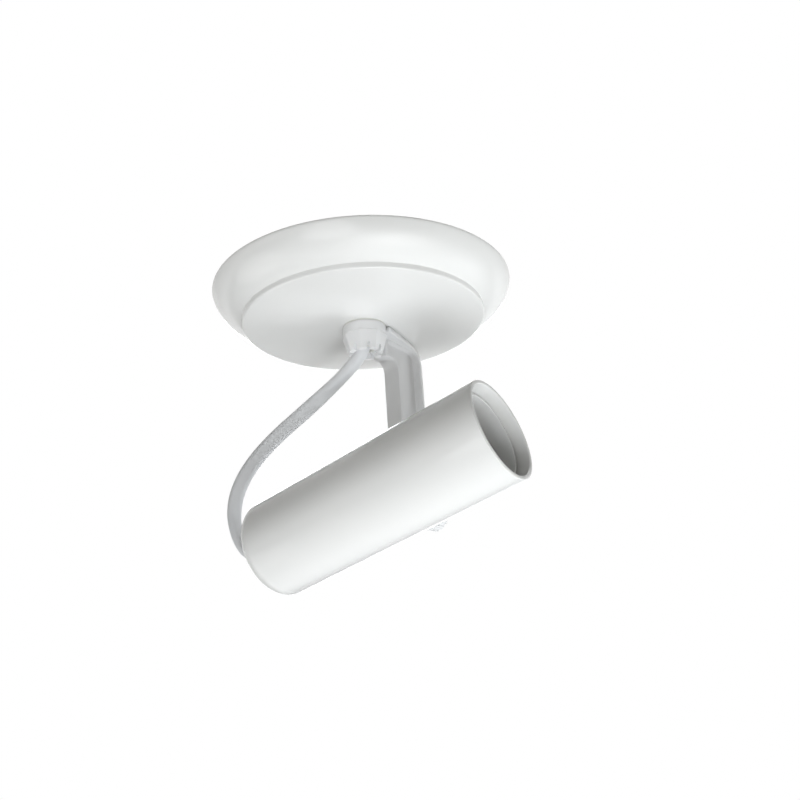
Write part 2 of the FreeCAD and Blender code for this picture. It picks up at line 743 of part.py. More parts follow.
def rounded_wire(points, label):
    """Straight runs through points, joined by tangent arcs as large as the runs allow."""
    edges = []
    radii = []
    run_start = points[0]
    for before, corner, after in zip(points, points[1:], points[2:]):
        back = (before - corner).normalize()
        ahead = (after - corner).normalize()
        half_turn = (math.pi - back.getAngle(ahead)) / 2
        reach = ARC_SHARE * min((before - corner).Length, (after - corner).Length)
        radius = reach / math.tan(half_turn)
        arc_start = corner + back * reach
        arc_end = corner + ahead * reach
        inward = (back + ahead).normalize()
        middle = corner + inward * (radius / math.cos(half_turn) - radius)
        edges.append(Part.LineSegment(run_start, arc_start).toShape())
        edges.append(Part.Arc(arc_start, middle, arc_end).toShape())
        radii.append(radius)
        run_start = arc_end
    edges.append(Part.LineSegment(run_start, points[-1]).toShape())
    print(label, "bend radii:", ", ".join(f"{radius:.1f}" for radius in radii))
    return Part.Wire(edges)


def wire_solid(points, radius, label):
    """A round solid of one radius along rounded runs, with its volume compared."""
    path = rounded_wire(points, label)
    along = (points[1] - points[0]).normalize()
    section = Part.Wire([Part.Circle(points[0], along, radius).toShape()])
    solid = path.makePipeShell([section], True, False)
    expected = math.pi * radius**2 * path.Length
    if not solid.isValid() or abs(solid.Volume / expected - 1) > VOLUME_TOLERANCE:
        raise RuntimeError(f"{label}: volume {solid.Volume:.1f}, expected {expected:.1f}")
    return solid


def on_head(across, along_axis, station):
    """A point of the row, given in the head's own frame."""
    tilt = math.radians(number("head_tilt"))
    forward = Vector(math.cos(tilt), 0, math.sin(tilt))
    downward = Vector(math.sin(tilt), 0, -math.cos(tilt))
    pivot = Vector(0, -number("tube_offset"), -number("pivot_drop"))
    return pivot + downward * across + Vector(0, along_axis, 0) + forward * station


def make_cord():
    """The cord from inside the threaded tube, out of the grip and round into the tube's rear."""
    top = Vector(0, 0, -number(CORD_TOP))
    throat = Vector(0, 0, -number(FINGER_TOP))
    bore_middle = (top + throat) / 2 + Vector(0.25, 0, 0)
    free_run = [
        Vector(-5.6, -0.1, -29.4),
        Vector(-15.2, -0.3, -35.4),
        Vector(-30.6, -0.6, -43.3),
        Vector(-47.0, -1.1, -51.3),
        Vector(-59.6, -1.6, -59.9),
        Vector(-67.4, -2.0, -69.6),
        Vector(-69.6, -2.4, -80.2),
        Vector(-67.0, -2.7, -89.8),
        Vector(-61.5, -2.9, -97.6),
    ]
    outside = on_head(0, 0, number(f"{REAR_FACE} - cord_landing"))
    inside = on_head(0, 0, number(CORD_END))
    points = [top, bore_middle, throat] + free_run + [outside, inside]
    solid_group("cord", wire_solid(points, number("cord_radius"), "cord"))


def make_supply_leads():
    """The cord's two cores, from the top of the threaded tube into the terminal block."""
    top = number(f"lead_gap - {CORD_TOP}")
    start = number("cord_radius - lead_radius - screw_gap")
    height = number(POLE_HEIGHT)
    block = number(f"{BLOCK_ACROSS} - block_width/2")
    entry = number(f"{BLOCK_ACROSS} - block_width/2 + lead_entry")
    near_pole = number(f"{BLOCK_CENTRE} + pole_spacing/2")
    far_pole = number(f"{BLOCK_CENTRE} - pole_spacing/2")
    near = [Vector(start, 0, top), Vector(start, 0, -3.2), Vector(6.5, -8.5, -3.0),
            Vector(block - 7, near_pole + 1, -4.6), Vector(block - 3, near_pole, height),
            Vector(entry, near_pole, height)]
    far = [Vector(-start, 0, top), Vector(-start, 0, -3.2), Vector(-1.5, -12, -3.0),
           Vector(5, far_pole + 1.5, -4.2), Vector(block - 6, far_pole, height),
           Vector(entry, far_pole + 0.01, height)]
    radius = number("lead_radius")
    solids = [wire_solid(points, radius, "supply lead") for points in (near, far)]
    solid_group("supply_leads", Part.makeCompound(solids))


def make_head_leads():
    """The cord's two cores inside the tube, from the rear bush into the lampholder."""
    radius = number("lead_radius")
    start = number("cord_radius - lead_radius - screw_gap")
    rear = number(f"{CORD_END} + lead_gap")
    back = number(HOLDER_BACK)
    half = number("pin_spacing/2")
    room = back - rear
    solids = []
    for side in (1, -1):
        points = [Vector(side * start, 0, rear), Vector(side * start, 0.4, rear + 0.25 * room),
                  Vector(side * (half + 1.2), 1.5, rear + 0.55 * room),
                  Vector(side * half, 0, back - 0.15 * room),
                  Vector(side * half, 0.01, number(CONTACT_BACK))]
        solids.append(wire_solid(points, radius, "head lead"))
    solid_group("head_leads", Part.makeCompound(solids), "head")


# ---------------------------------------------------------------- head tube


def make_head_tube():
    """The drawn tube: open mouth, rounded rear end, cord hole and bolt hole."""
    shoulder = f"{TUBE_RADIUS} - rear_edge_radius"
    body = turned("head_tube", [
        (TUBE_RADIUS, "mouth_reach"),
        (TUBE_RADIUS, f"{REAR_FACE} + rear_edge_radius", "rear_edge_radius", "right"),
        (shoulder, REAR_FACE),
        (REAR_HOLE, REAR_FACE),
        (REAR_HOLE, REAR_INSIDE),
        (shoulder, REAR_INSIDE, "rear_edge_radius - tube_wall", "left"),
        (TUBE_BORE, f"{REAR_FACE} + rear_edge_radius"),
        (TUBE_BORE, "mouth_reach"),
    ], "head")
    hole = new_sketch(body, "XZ_Plane")
    ring_line(hole, BOLT_WAY)
    extrude(body, hole, f"{TUBE_RADIUS} + cut_margin", cut=True)


def make_rear_bush():
    """The snap-in bush that leads the cord through the rear end."""
    bore = "cord_radius + bush_gap"
    sleeve = f"{REAR_HOLE} - bush_fit"
    flange = f"{REAR_HOLE} + bush_flange_width"
    outer_face = f"{REAR_FACE} - bush_flange_height"
    collar = f"{REAR_HOLE} + bush_collar_rise"
    collar_end = f"{REAR_INSIDE} + bush_collar_height"
    turned("rear_bush", [
        (bore, outer_face),
        (flange, outer_face),
        (flange, REAR_FACE),
        (sleeve, REAR_FACE),
        (sleeve, REAR_INSIDE),
        (collar, REAR_INSIDE),
        (f"{collar} - bush_collar_taper", collar_end),
        (bore, collar_end),
    ], "head")


def make_front_ring():
    """The baffle ring inside the mouth, with its raised lip."""
    outer = f"{TUBE_BORE} - ring_gap"
    inner = f"{TUBE_BORE} - ring_width"
    lip = f"{TUBE_BORE} - ring_lip_margin"
    front = "(mouth_reach - ring_recess)"
    turned("front_ring", [
        (inner, f"{LAMP_FRONT} + ring_gap"),
        (outer, f"{LAMP_FRONT} + ring_gap"),
        (outer, f"{front} - ring_lip_height"),
        (lip, f"{front} - ring_lip_height"),
        (lip, front),
        (inner, front),
    ], "head")


def make_lamp():
    """The lamp: reflector, front lens, base and its two headed pins."""
    rim = "(reflector_radius - reflector_wall)"
    bowl_start = f"({LAMP_FRONT} - reflector_rim)"
    flare = "(reflector_radius - lamp_neck_radius)"
    depth = f"({bowl_start} - {LAMP_NECK})"
    inner_depth = f"({depth} - reflector_wall)"
    turned("lamp_reflector", [
        ("reflector_radius", LAMP_FRONT),
        ("reflector_radius", bowl_start, f"({flare}^2 + {depth}^2)/2/{flare}", "right"),
        ("lamp_neck_radius", LAMP_NECK),
        ("reflector_hole_radius", LAMP_NECK),
        ("reflector_hole_radius", f"{LAMP_NECK} + reflector_wall"),
        ("lamp_neck_radius - reflector_wall", f"{LAMP_NECK} + reflector_wall",
         f"({flare}^2 + {inner_depth}^2)/2/{flare}", "left"),
        (rim, bowl_start),
        (rim, LENS_BACK),
        (rim, LAMP_FRONT),
    ], "head")
    turned("lamp_lens", [
        ("0", LENS_BACK),
        (f"{rim} - lens_gap", LENS_BACK),
        (f"{rim} - lens_gap", f"{LAMP_FRONT} - lens_inset"),
        ("0", f"{LAMP_FRONT} - lens_inset"),
    ], "head")
    turned("lamp_base", [
        ("0", LAMP_END),
        ("lamp_neck_radius - lamp_base_chamfer", LAMP_END),
        ("lamp_neck_radius", f"{LAMP_END} + lamp_base_chamfer"),
        ("lamp_neck_radius", LAMP_NECK),
        ("0", LAMP_NECK),
    ], "head")
    pins = new_body("lamp_pins", "head")
    shanks = new_sketch(pins, "XY_Plane", LAMP_END)
    both_pins(shanks, "pin_radius")
    extrude(pins, shanks, "pin_length", reverse=True)
    feet = new_sketch(pins, "XY_Plane", f"{LAMP_END} - pin_length")
    both_pins(feet, "pin_foot_radius")
    extrude(pins, feet, "pin_foot_height")


def both_pins(sketch, radius):
    """One circle at each of the lamp's two pins."""
    for side in ("", "0 - "):
        ring_line(sketch, radius, f"{side}pin_spacing/2")


def both_holder_screws(sketch, radius):
    """One circle at each of the lampholder's two screws."""
    for side in ("", "0 - "):
        ring_line(sketch, radius, "0", f"{side}holder_screw_spacing/2")


def make_lampholder():
    """The ceramic holder: pin wells, lead ways behind them and two screw holes."""
    body = turned("lampholder", [
        ("0", HOLDER_BACK),
        ("holder_radius", HOLDER_BACK),
        ("holder_radius", f"{HOLDER_FRONT} - holder_chamfer_height"),
        ("holder_radius - holder_chamfer", HOLDER_FRONT),
        ("0", HOLDER_FRONT),
    ], "head")
    wells = new_sketch(body, "XY_Plane", HOLDER_FRONT)
    both_pins(wells, PIN_ROOM)
    extrude(body, wells, f"{HOLDER_FRONT} - {CONTACT_BACK}", cut=True)
    ways = new_sketch(body, "XY_Plane", HOLDER_BACK)
    both_pins(ways, LEAD_WAY)
    extrude(body, ways, f"{CONTACT_BACK} - {HOLDER_BACK}", cut=True, reverse=True)
    screws = new_sketch(body, "XY_Plane", HOLDER_BACK)
    both_holder_screws(screws, "holder_screw_radius + thread_gap")
    extrude(body, screws, "holder_screw_depth + holder_screw_tip_gap", cut=True, reverse=True)


def make_holder_contacts():
    """The two contact plates at the bottom of the holder's pin wells, one node."""
    body = new_body("holder_contacts", "head")
    plates = new_sketch(body, "XY_Plane", CONTACT_BACK)
    both_pins(plates, f"{PIN_ROOM} - contact_gap")
    extrude(body, plates, "contact_thickness")


def make_holder_bracket():
    """The strip clamped by the tilt bolt, bent across the tube to carry the lampholder."""
    body = new_body("holder_bracket", "head")
    half = "strip_width/2"
    strip = new_sketch(body, "XY_Plane", PLATE_BACK)
    box_outline(strip, f"0 - {half}", half, STRIP_INNER, STRIP_OUTER)
    extrude(body, strip, f"bolt_head_radius + strip_margin - {PLATE_BACK}")
    web = new_sketch(body, "XY_Plane", PLATE_BACK)
    box_outline(web, f"0 - {half}", half, "0", STRIP_OUTER)
    extrude(body, web, "strip_thickness")
    plate = new_sketch(body, "XY_Plane", PLATE_BACK)
    ring_line(plate, "holder_radius")
    extrude(body, plate, "strip_thickness")
    holes = new_sketch(body, "XY_Plane", HOLDER_BACK)
    both_holder_screws(holes, "holder_screw_radius + screw_gap")
    both_pins(holes, LEAD_WAY)
    extrude(body, holes, "strip_thickness", cut=True)
    bolt_hole = new_sketch(body, "XZ_Plane")
    ring_line(bolt_hole, BOLT_WAY)
    extrude(body, bolt_hole, TUBE_RADIUS, cut=True)


def make_holder_screws():
    """The two screws that fix the lampholder, one node."""
    body = new_body("holder_screws", "head")
    shanks = new_sketch(body, "XY_Plane", PLATE_BACK)
    both_holder_screws(shanks, "holder_screw_radius")
    extrude(body, shanks, "strip_thickness + holder_screw_depth")
    heads = new_sketch(body, "XY_Plane", PLATE_BACK)
    both_holder_screws(heads, "holder_screw_head_radius")
    extrude(body, heads, "holder_screw_head_height", reverse=True)


# ---------------------------------------------------------------- tilt pivot and knob


def disc_along_axis(body, radius, start, end):
    """Pad a disc about the tilt axis between two places along it."""
    section = new_sketch(body, "XZ_Plane", f"0 - ({end})")
    ring_line(section, radius)
    extrude(body, section, f"({end}) - ({start})")


def make_pivot_bolt():
    """The bolt from inside the tube, through strip, wall, saddle and arm, into the knob."""
    body = new_body("pivot_bolt", "head")
    disc_along_axis(body, "bolt_head_radius", f"{STRIP_INNER} - bolt_head_height", STRIP_INNER)
    disc_along_axis(body, "bolt_radius", f"{STRIP_INNER} - bolt_head_height",
                    f"{KNOB_START} + knob_insert_length - bolt_end_gap")


def make_pivot_saddle():
    """The spacer between the round tube and the arm's flat boss."""
    body = new_body("pivot_saddle", "head")
    disc_along_axis(body, "saddle_radius", TUBE_BORE, f"{LEG_FACE} - swivel_gap")
    around = new_sketch(body, "XZ_Plane")
    box_outline(around, "0", TUBE_RADIUS, "0 - 2*saddle_radius", "2*saddle_radius")
    turn_about(body, around, cut=True)
    bore = new_sketch(body, "XZ_Plane")
    ring_line(bore, BOLT_WAY)
    extrude(body, bore, LEG_FACE, cut=True)


def make_pivot_washer():
    """The flat washer between the arm's boss and the knob."""
    body = new_body("pivot_washer", "head")
    disc_along_axis(body, "pivot_washer_radius", BOSS_END, f"{BOSS_END} + pivot_washer_thickness")
    bore = new_sketch(body, "XZ_Plane")
    ring_line(bore, BOLT_WAY)
    extrude(body, bore, KNOB_START, cut=True)


def make_tilt_knob():
    """The grooved knob with a crowned end, hollow for its threaded insert."""
    body = new_body("tilt_knob", "head")
    section = new_sketch(body, "XY_Plane")
    insert_end = f"{KNOB_START} + knob_insert_length"
    outline(section, [
        ("knob_insert_radius", KNOB_START),
        ("knob_radius", KNOB_START),
        ("knob_radius", f"{KNOB_END} - knob_crown",
         "(knob_radius^2 + knob_crown^2)/2/knob_crown", "left"),
        ("0", KNOB_END),
        ("0", insert_end),
        ("knob_insert_radius", insert_end),
    ])
    turn_about(body, section)
    groove = new_sketch(body, "XZ_Plane", f"0 - {KNOB_END}")
    ring_line(groove, "knob_groove_radius", "knob_radius")
    groove_cut = extrude(body, groove, "knob_length - knob_collar", cut=True, reverse=True)
    repeat_round(body, groove_cut, "knob_grooves", "Y_Axis")


def make_knob_insert():
    """The threaded brass insert in the knob."""
    body = new_body("knob_insert", "head")
    disc_along_axis(body, "knob_insert_radius", KNOB_START, f"{KNOB_START} + knob_insert_length")
    bore = new_sketch(body, "XZ_Plane", f"0 - {KNOB_START} - knob_insert_length")
    ring_line(bore, "bolt_radius + thread_gap")
    extrude(body, bore, "knob_insert_length", cut=True, reverse=True)


# ---------------------------------------------------------------- build, check and write


def check_and_write():
    """Check every object and every piece, then write one file for each piece."""
    doc.recompute()
    for item in doc.Objects:
        if "Invalid" in item.State or "Error" in item.State:
            raise RuntimeError(f"{item.Label} failed: {item.State}")
    for piece in NODES:
        if piece.Shape.isNull() or not piece.Shape.isValid() or not piece.Shape.Solids:
            raise RuntimeError(f"{piece.Label} has no valid solid")
    os.makedirs("parts", exist_ok=True)
    for piece in NODES:
        piece.Shape.exportStep(os.path.join("parts", piece.Label + ".step"))
        print(f"{piece.Label}: {len(piece.Shape.Solids)} solids, {piece.Shape.Volume:.1f} mm3")


make_canopy()
make_ceiling_bracket()
make_nipple()
make_locknuts()
make_terminal_block()
make_terminal_inserts()
make_terminal_screws()
make_block_screw()
make_swivel_washers()
make_arm()
make_cord_grip()
make_grip_insert()
make_cord()
make_supply_leads()
make_head_tube()
make_rear_bush()
make_front_ring()
make_lamp()
make_lampholder()
make_holder_contacts()
make_holder_bracket()
make_holder_screws()
make_head_leads()
make_pivot_bolt()
make_pivot_saddle()
make_pivot_washer()
make_tilt_knob()
make_knob_insert()
check_and_write()
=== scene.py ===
"""Looks of the surface mounted ceiling spotlight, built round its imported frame.

All sizes are in metres, in the row's frame: the origin is on the ceiling at the middle of the
canopy, +Z is up, +X is the side of the lamp's mouth and +Y the side where the arm hangs down.
"""

import json
import logging
import math
from collections.abc import Sequence
from dataclasses import dataclass
from enum import Enum

import bpy
from mathutils import Matrix, Vector


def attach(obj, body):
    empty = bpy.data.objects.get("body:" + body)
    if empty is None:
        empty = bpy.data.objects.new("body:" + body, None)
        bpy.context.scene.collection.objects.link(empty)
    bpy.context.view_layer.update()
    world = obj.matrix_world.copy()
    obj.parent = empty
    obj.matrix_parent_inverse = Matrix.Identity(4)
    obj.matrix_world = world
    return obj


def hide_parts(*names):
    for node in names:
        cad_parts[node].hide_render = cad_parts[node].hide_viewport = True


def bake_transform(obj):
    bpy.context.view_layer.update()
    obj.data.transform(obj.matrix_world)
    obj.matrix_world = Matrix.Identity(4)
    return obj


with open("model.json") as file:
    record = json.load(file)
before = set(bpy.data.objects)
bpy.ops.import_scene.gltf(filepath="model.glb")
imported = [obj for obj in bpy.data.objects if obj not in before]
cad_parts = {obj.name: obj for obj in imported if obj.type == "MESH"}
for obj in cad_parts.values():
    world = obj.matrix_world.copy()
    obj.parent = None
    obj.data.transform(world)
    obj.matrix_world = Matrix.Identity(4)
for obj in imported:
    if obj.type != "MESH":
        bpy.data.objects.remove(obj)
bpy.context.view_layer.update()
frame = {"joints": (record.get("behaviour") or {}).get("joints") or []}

LOG = logging.getLogger("spotlight")

MM = 0.001
TINY = 1e-6
AXIS = 10 * TINY
Point2 = tuple[float, float]
Corner = tuple[float, float, float]
Point3 = tuple[float, float, float]


class Body(str, Enum):
    """The moving bodies of the frame."""

    CANOPY = "canopy_assembly"
    ARM = "arm_assembly"
    HEAD = "head_assembly"
    KNOB = "knob_assembly"


class Slot(str, Enum):
    """The record's material slots."""

    ENAMEL = "white_enamel"
    PLASTIC = "white_plastic"
    NYLON = "white_nylon"
    CORD = "cord_sheath"
    LEAD = "lead_sheath"
    ZINC = "zinc_steel"
    BRASS = "brass"
    CERAMIC = "ceramic"
    SILVER = "lamp_silver"
    GLASS = "lamp_glass"


# ------------------------------------------------------------------ workbench


def clear_selection() -> None:
    """Leave edit mode and deselect every object."""
    if bpy.context.object and bpy.context.object.mode != "OBJECT":
        bpy.ops.object.mode_set(mode="OBJECT")
    bpy.ops.object.select_all(action="DESELECT")


def take(piece: bpy.types.Object) -> None:
    """Make one object the only selected and the active one.

    Args:
        piece: The object to work on.
    """
    clear_selection()
    piece.select_set(True)
    bpy.context.view_layer.objects.active = piece


def name_piece(name: str) -> bpy.types.Object:
    """Name the object that an operator has just added.

    Args:
        name: The piece's name, also given to its mesh.

    Returns:
        The active object.
    """
    piece = bpy.context.object
    piece.name = name
    piece.data.name = name
    return piece


def close_up(piece: bpy.types.Object) -> None:
    """Merge doubled vertices, turn all normals outwards and leave edit mode.

    Args:
        piece: The object in edit mode.
    """
    bpy.ops.mesh.select_all(action="SELECT")
    bpy.ops.mesh.remove_doubles(threshold=TINY)
    bpy.ops.mesh.normals_make_consistent(inside=False)
    bpy.ops.object.mode_set(mode="OBJECT")


def round_edges(piece: bpy.types.Object, width: float, segments: int = 3, angle: float = 35) -> None:
    """Bevel an object's sharp edges with an applied modifier.

    Args:
        piece: The object to work on.
        width: How far each edge is cut back.
        segments: Faces across the rounding.
        angle: The least turn, in degrees, of an edge that is rounded.
    """
    take(piece)
    bevel = piece.modifiers.new("edge rounding", "BEVEL")
    bevel.width = width
    bevel.segments = segments
    bevel.limit_method = "ANGLE"
    bevel.angle_limit = math.radians(angle)
    bevel.use_clamp_overlap = True
    bpy.ops.object.modifier_apply(modifier=bevel.name)


def combine(piece: bpy.types.Object, tool: bpy.types.Object, operation: str) -> None:
    """Apply a boolean of another object, and remove that object.

    Args:
        piece: The object that is changed.
        tool: The object that cuts it or is added to it.
        operation: UNION, DIFFERENCE or INTERSECT.
    """
    take(piece)
    boolean = piece.modifiers.new("cut", "BOOLEAN")
    boolean.operation = operation
    boolean.solver = "EXACT"
    boolean.object = tool
    bpy.ops.object.modifier_apply(modifier=boolean.name)
    bpy.data.objects.remove(tool)


def settle(piece: bpy.types.Object, place: Matrix | None = None, smooth_angle: float = 40) -> None:
    """Put a piece in its place with its object at the origin, and shade it smooth.

    Args:
        piece: The finished object.
        place: Where its own frame stands in the row; none for a piece drawn in the row.
        smooth_angle: The greatest turn, in degrees, that is shaded smooth.
    """
    take(piece)
    if place is not None:
        piece.matrix_world = place @ piece.matrix_world
    bpy.ops.object.transform_apply(location=True, rotation=True, scale=True)
    bpy.ops.object.shade_smooth_by_angle(angle=math.radians(smooth_angle))


def arc(centre: Point2, radius: float, start: float, end: float, steps: int) -> list[Point2]:
    """Points along an arc of a profile.

    Args:
        centre: The arc's centre.
        radius: Its radius.
        start: Its first angle, in degrees.
        end: Its last angle, in degrees.
        steps: How many stretches it has.

    Returns:
        The points, with both ends.
    """
    turns = [math.radians(start + (end - start) * step / steps) for step in range(steps + 1)]
    return [(centre[0] + radius * math.cos(turn), centre[1] + radius * math.sin(turn)) for turn in turns]


def bulge(start: Point2, end: Point2, radius: float, side: int, steps: int) -> list[Corner]:
    """Points along an arc from one point of a profile to another.

    Args:
        start: The arc's first point.
        end: Its last point.
        radius: Its radius.
        side: 1 when its centre is on the left of the way, -1 when it is on the right.
        steps: How many stretches it has.

    Returns:
        Its points with both ends, as corners that stay sharp.
    """
    first, last = Vector(start), Vector(end)
    along = (last - first) / 2
    sideways = Vector((-along.y, along.x)).normalized()
    centre = first + along + sideways * side * math.sqrt(radius**2 - along.length_squared)
    sweep = 2 * math.asin(along.length / radius) * side
    spokes = [Matrix.Rotation(sweep * step / steps, 2) @ (first - centre) for step in range(steps + 1)]
    return [(*(centre + spoke), 0.0) for spoke in spokes]


def rounded(corners: Sequence[Corner], steps: int = 4) -> list[Point2]:
    """A closed outline with its corners rounded.

    Args:
        corners: Each corner's place and rounding radius; a radius of 0 keeps it sharp.
        steps: Stretches across each rounding.

    Returns:
        The outline's points.
    """
    points: list[Point2] = []
    count = len(corners)
    for index, (across, up, radius) in enumerate(corners):
        here = Vector((across, up))
        if radius <= 0:
            points.append((across, up))
            continue
        back = Vector(corners[index - 1][:2]) - here
        ahead = Vector(corners[(index + 1) % count][:2]) - here
        half = back.angle(ahead) / 2
        reach = min(radius / math.tan(half), 0.49 * back.length, 0.49 * ahead.length)
        first = here + back.normalized() * reach
        inward = (back.normalized() + ahead.normalized()).normalized()
        centre = here + inward * (reach / math.cos(half))
        sweep = math.pi - 2 * half
        side = 1 if back.normalized().cross(ahead.normalized()) < 0 else -1
        for step in range(steps + 1):
            spoke = Matrix.Rotation(side * sweep * step / steps, 2) @ (first - centre)
            points.append(tuple(centre + spoke))
    return points


def turned(name: str, outline: Sequence[Point2], segments: int = 96) -> bpy.types.Object:
    """Turn a closed profile about Z: a circle, extruded and scaled from ring to ring.

    Args:
        name: The new object's name.
        outline: Points of (radius, height); a radius of AXIS stands for the middle.
        segments: Faces round the axis.

    Returns:
        The closed object, at the origin.
    """
    clear_selection()
    radius, height = outline[0]
    bpy.ops.mesh.primitive_circle_add(
        vertices=segments, radius=radius, fill_type="NOTHING", location=(0, 0, height))
    piece = name_piece(name)
    bpy.ops.object.transform_apply(location=True)
    bpy.ops.object.mode_set(mode="EDIT")
    for next_radius, next_height in (*outline[1:], outline[0]):
        bpy.ops.mesh.extrude_region_move(
            TRANSFORM_OT_translate={"value": (0, 0, next_height - height)})
        growth = next_radius / radius
        bpy.ops.transform.resize(value=(growth, growth, 1), center_override=(0, 0, next_height))
        radius, height = next_radius, next_height
    close_up(piece)
    return piece


def plate(name: str, outline: Sequence[Point2], thickness: float) -> bpy.types.Object:
    """A flat plate: an outline in the YZ plane, filled and extruded along X, centred on it.

    Args:
        name: The new object's name.
        outline: Points of (y, z) round the plate.
        thickness: The plate's size along X.

    Returns:
        The closed object.
    """
    clear_selection()
    bpy.ops.mesh.primitive_circle_add(vertices=len(outline), radius=1, fill_type="NGON")
    piece = name_piece(name)
    for vertex, (across, up) in zip(piece.data.vertices, outline):
        vertex.co = (-thickness / 2, across, up)
    bpy.ops.object.mode_set(mode="EDIT")
    bpy.ops.mesh.select_all(action="SELECT")
    bpy.ops.mesh.extrude_region_move(TRANSFORM_OT_translate={"value": (thickness, 0, 0)})
    close_up(piece)
    return piece


# ------------------------------------------------------------------ finishes


def plug(tree: bpy.types.NodeTree, node: bpy.types.Node,
         sockets: dict[str | int, object]) -> bpy.types.Node:
    """Set a node's inputs, or link them where another node's output is given.

    Args:
        tree: The node tree.
        node: The node that gets the inputs.
        sockets: Each input's name or number, and its value or the output that feeds it.

    Returns:
        The node.
    """
    for socket, value in sockets.items():
        if isinstance(value, bpy.types.NodeSocket):
            tree.links.new(value, node.inputs[socket])
        else:
            node.inputs[socket].default_value = value
    return node


def add_node(tree: bpy.types.NodeTree, kind: str, sockets: dict[str | int, object] | None = None,
             **settings: str) -> bpy.types.Node:
    """Add a shader node.

    Args:
        tree: The node tree.
        kind: The node's type, without its ShaderNode.
        sockets: Its inputs, as plug takes them.
        settings: Its own settings, such as operation.

    Returns:
        The new node.
    """
    node = tree.nodes.new("ShaderNode" + kind)
    for name, value in settings.items():
        setattr(node, name, value)
    return plug(tree, node, sockets or {})


@dataclass(frozen=True)
class Finish:
    """A surface: its colour and gloss, with small unevenness in both.

    Attributes:
        title: The material's name.
        colour: The main colour.
        shade: The colour of the faint clouds in it.
        roughness: The main roughness.
        uneven: How much the roughness varies.
        cloud_size: Size of the colour clouds, in metres.
        grain_size: Size of the surface's grain, in metres.
        grain_depth: Depth of the grain, in metres.
        metallic: 1 for bare metal.
        coat: Strength of a clear gloss layer.
    """

    title: str
    colour: Point3
    shade: Point3
    roughness: float = 0.35
    uneven: float = 0.08
    cloud_size: float = 18 * MM
    grain_size: float = 0.6 * MM
    grain_depth: float = 0.01 * MM
    metallic: float = 0.0
    coat: float = 0.0

    def material(self) -> bpy.types.Material:
        """Make the material, or give the one made before.

        Returns:
            A node material that reads Object coordinates.
        """
        known = bpy.data.materials.get(self.title)
        if known:
            return known
        made = bpy.data.materials.new(self.title)
        made.use_nodes = True
        tree = made.node_tree
        place = add_node(tree, "TexCoord").outputs["Object"]
        clouds, grain = (
            add_node(tree, "TexNoise", {"Vector": place, "Scale": 1 / size, "Detail": detail}).outputs["Fac"]
            for size, detail in ((self.cloud_size, 3), (self.grain_size, 2)))
        tone = add_node(tree, "Mix", {"A": (*self.colour, 1), "B": (*self.shade, 1), "Factor": clouds},
                        data_type="RGBA")
        gloss = add_node(tree, "MapRange", {"To Min": self.roughness - self.uneven,
                                            "To Max": self.roughness + self.uneven, "Value": clouds})
        relief = add_node(tree, "Bump", {"Strength": 1.0, "Distance": self.grain_depth, "Height": grain})
        shader = plug(tree, tree.nodes["Principled BSDF"], {
            "Metallic": self.metallic, "Coat Weight": self.coat, "Coat Roughness": 0.06,
            "Base Color": self.tinted(tree, tone.outputs["Result"], place),
            "Roughness": gloss.outputs["Result"], "Normal": relief.outputs["Normal"]})
        self.finish_shader(shader)
        return made

    def tinted(self, tree: bpy.types.NodeTree, colour: bpy.types.NodeSocket,
               place: bpy.types.NodeSocket) -> bpy.types.NodeSocket:
        """The colour that reaches the shader; a plain finish passes it on.

        Args:
            tree: The material's nodes.
            colour: The clouded main colour.
            place: Its Object coordinates.

        Returns:
            The colour to use.
        """
        return colour

    def finish_shader(self, shader: bpy.types.Node) -> None:
        """Set what only some finishes have; a plain finish has nothing to add."""


@dataclass(frozen=True)
class LeadPair(Finish):
    """The two insulated cores of a cord, brown on one side of some planes and blue beyond.

    Attributes:
        second: The colour of the second core.
        planes: Each plane's normal and offset; the first core is in front of them all.
    """

    second: Point3 = (0.03, 0.10, 0.33)
    planes: tuple[tuple[Point3, float], ...] = ()

    def tinted(self, tree: bpy.types.NodeTree, colour: bpy.types.NodeSocket,
               place: bpy.types.NodeSocket) -> bpy.types.NodeSocket:
        """Choose the core's colour by its side of the planes.

        Args:
            tree: The material's nodes.
            colour: The first core's clouded colour.
            place: Its Object coordinates.

        Returns:
            The colour to use.
        """
        least = None
        for normal, offset in self.planes:
            across = add_node(tree, "VectorMath", {0: place, 1: normal}, operation="DOT_PRODUCT")
            above = add_node(tree, "Math", {0: across.outputs["Value"], 1: offset}, operation="ADD")
            if least is not None:
                above = add_node(tree, "Math", {0: least.outputs["Value"], 1: above.outputs["Value"]},
                                 operation="MINIMUM")
            least = above
        side = add_node(tree, "Math", {0: least.outputs["Value"], 1: 0.0}, operation="GREATER_THAN")
        choice = add_node(tree, "Mix", {"A": (*self.second, 1), "B": colour,
                                        "Factor": side.outputs["Value"]}, data_type="RGBA")
        return choice.outputs["Result"]


@dataclass(frozen=True)
class FrostedGlass(Finish):
    """Clear glass with an even frosting."""

    def finish_shader(self, shader: bpy.types.Node) -> None:
        """Let light through."""
        shader.inputs["Transmission Weight"].default_value = 0.85
        shader.inputs["IOR"].default_value = 1.47


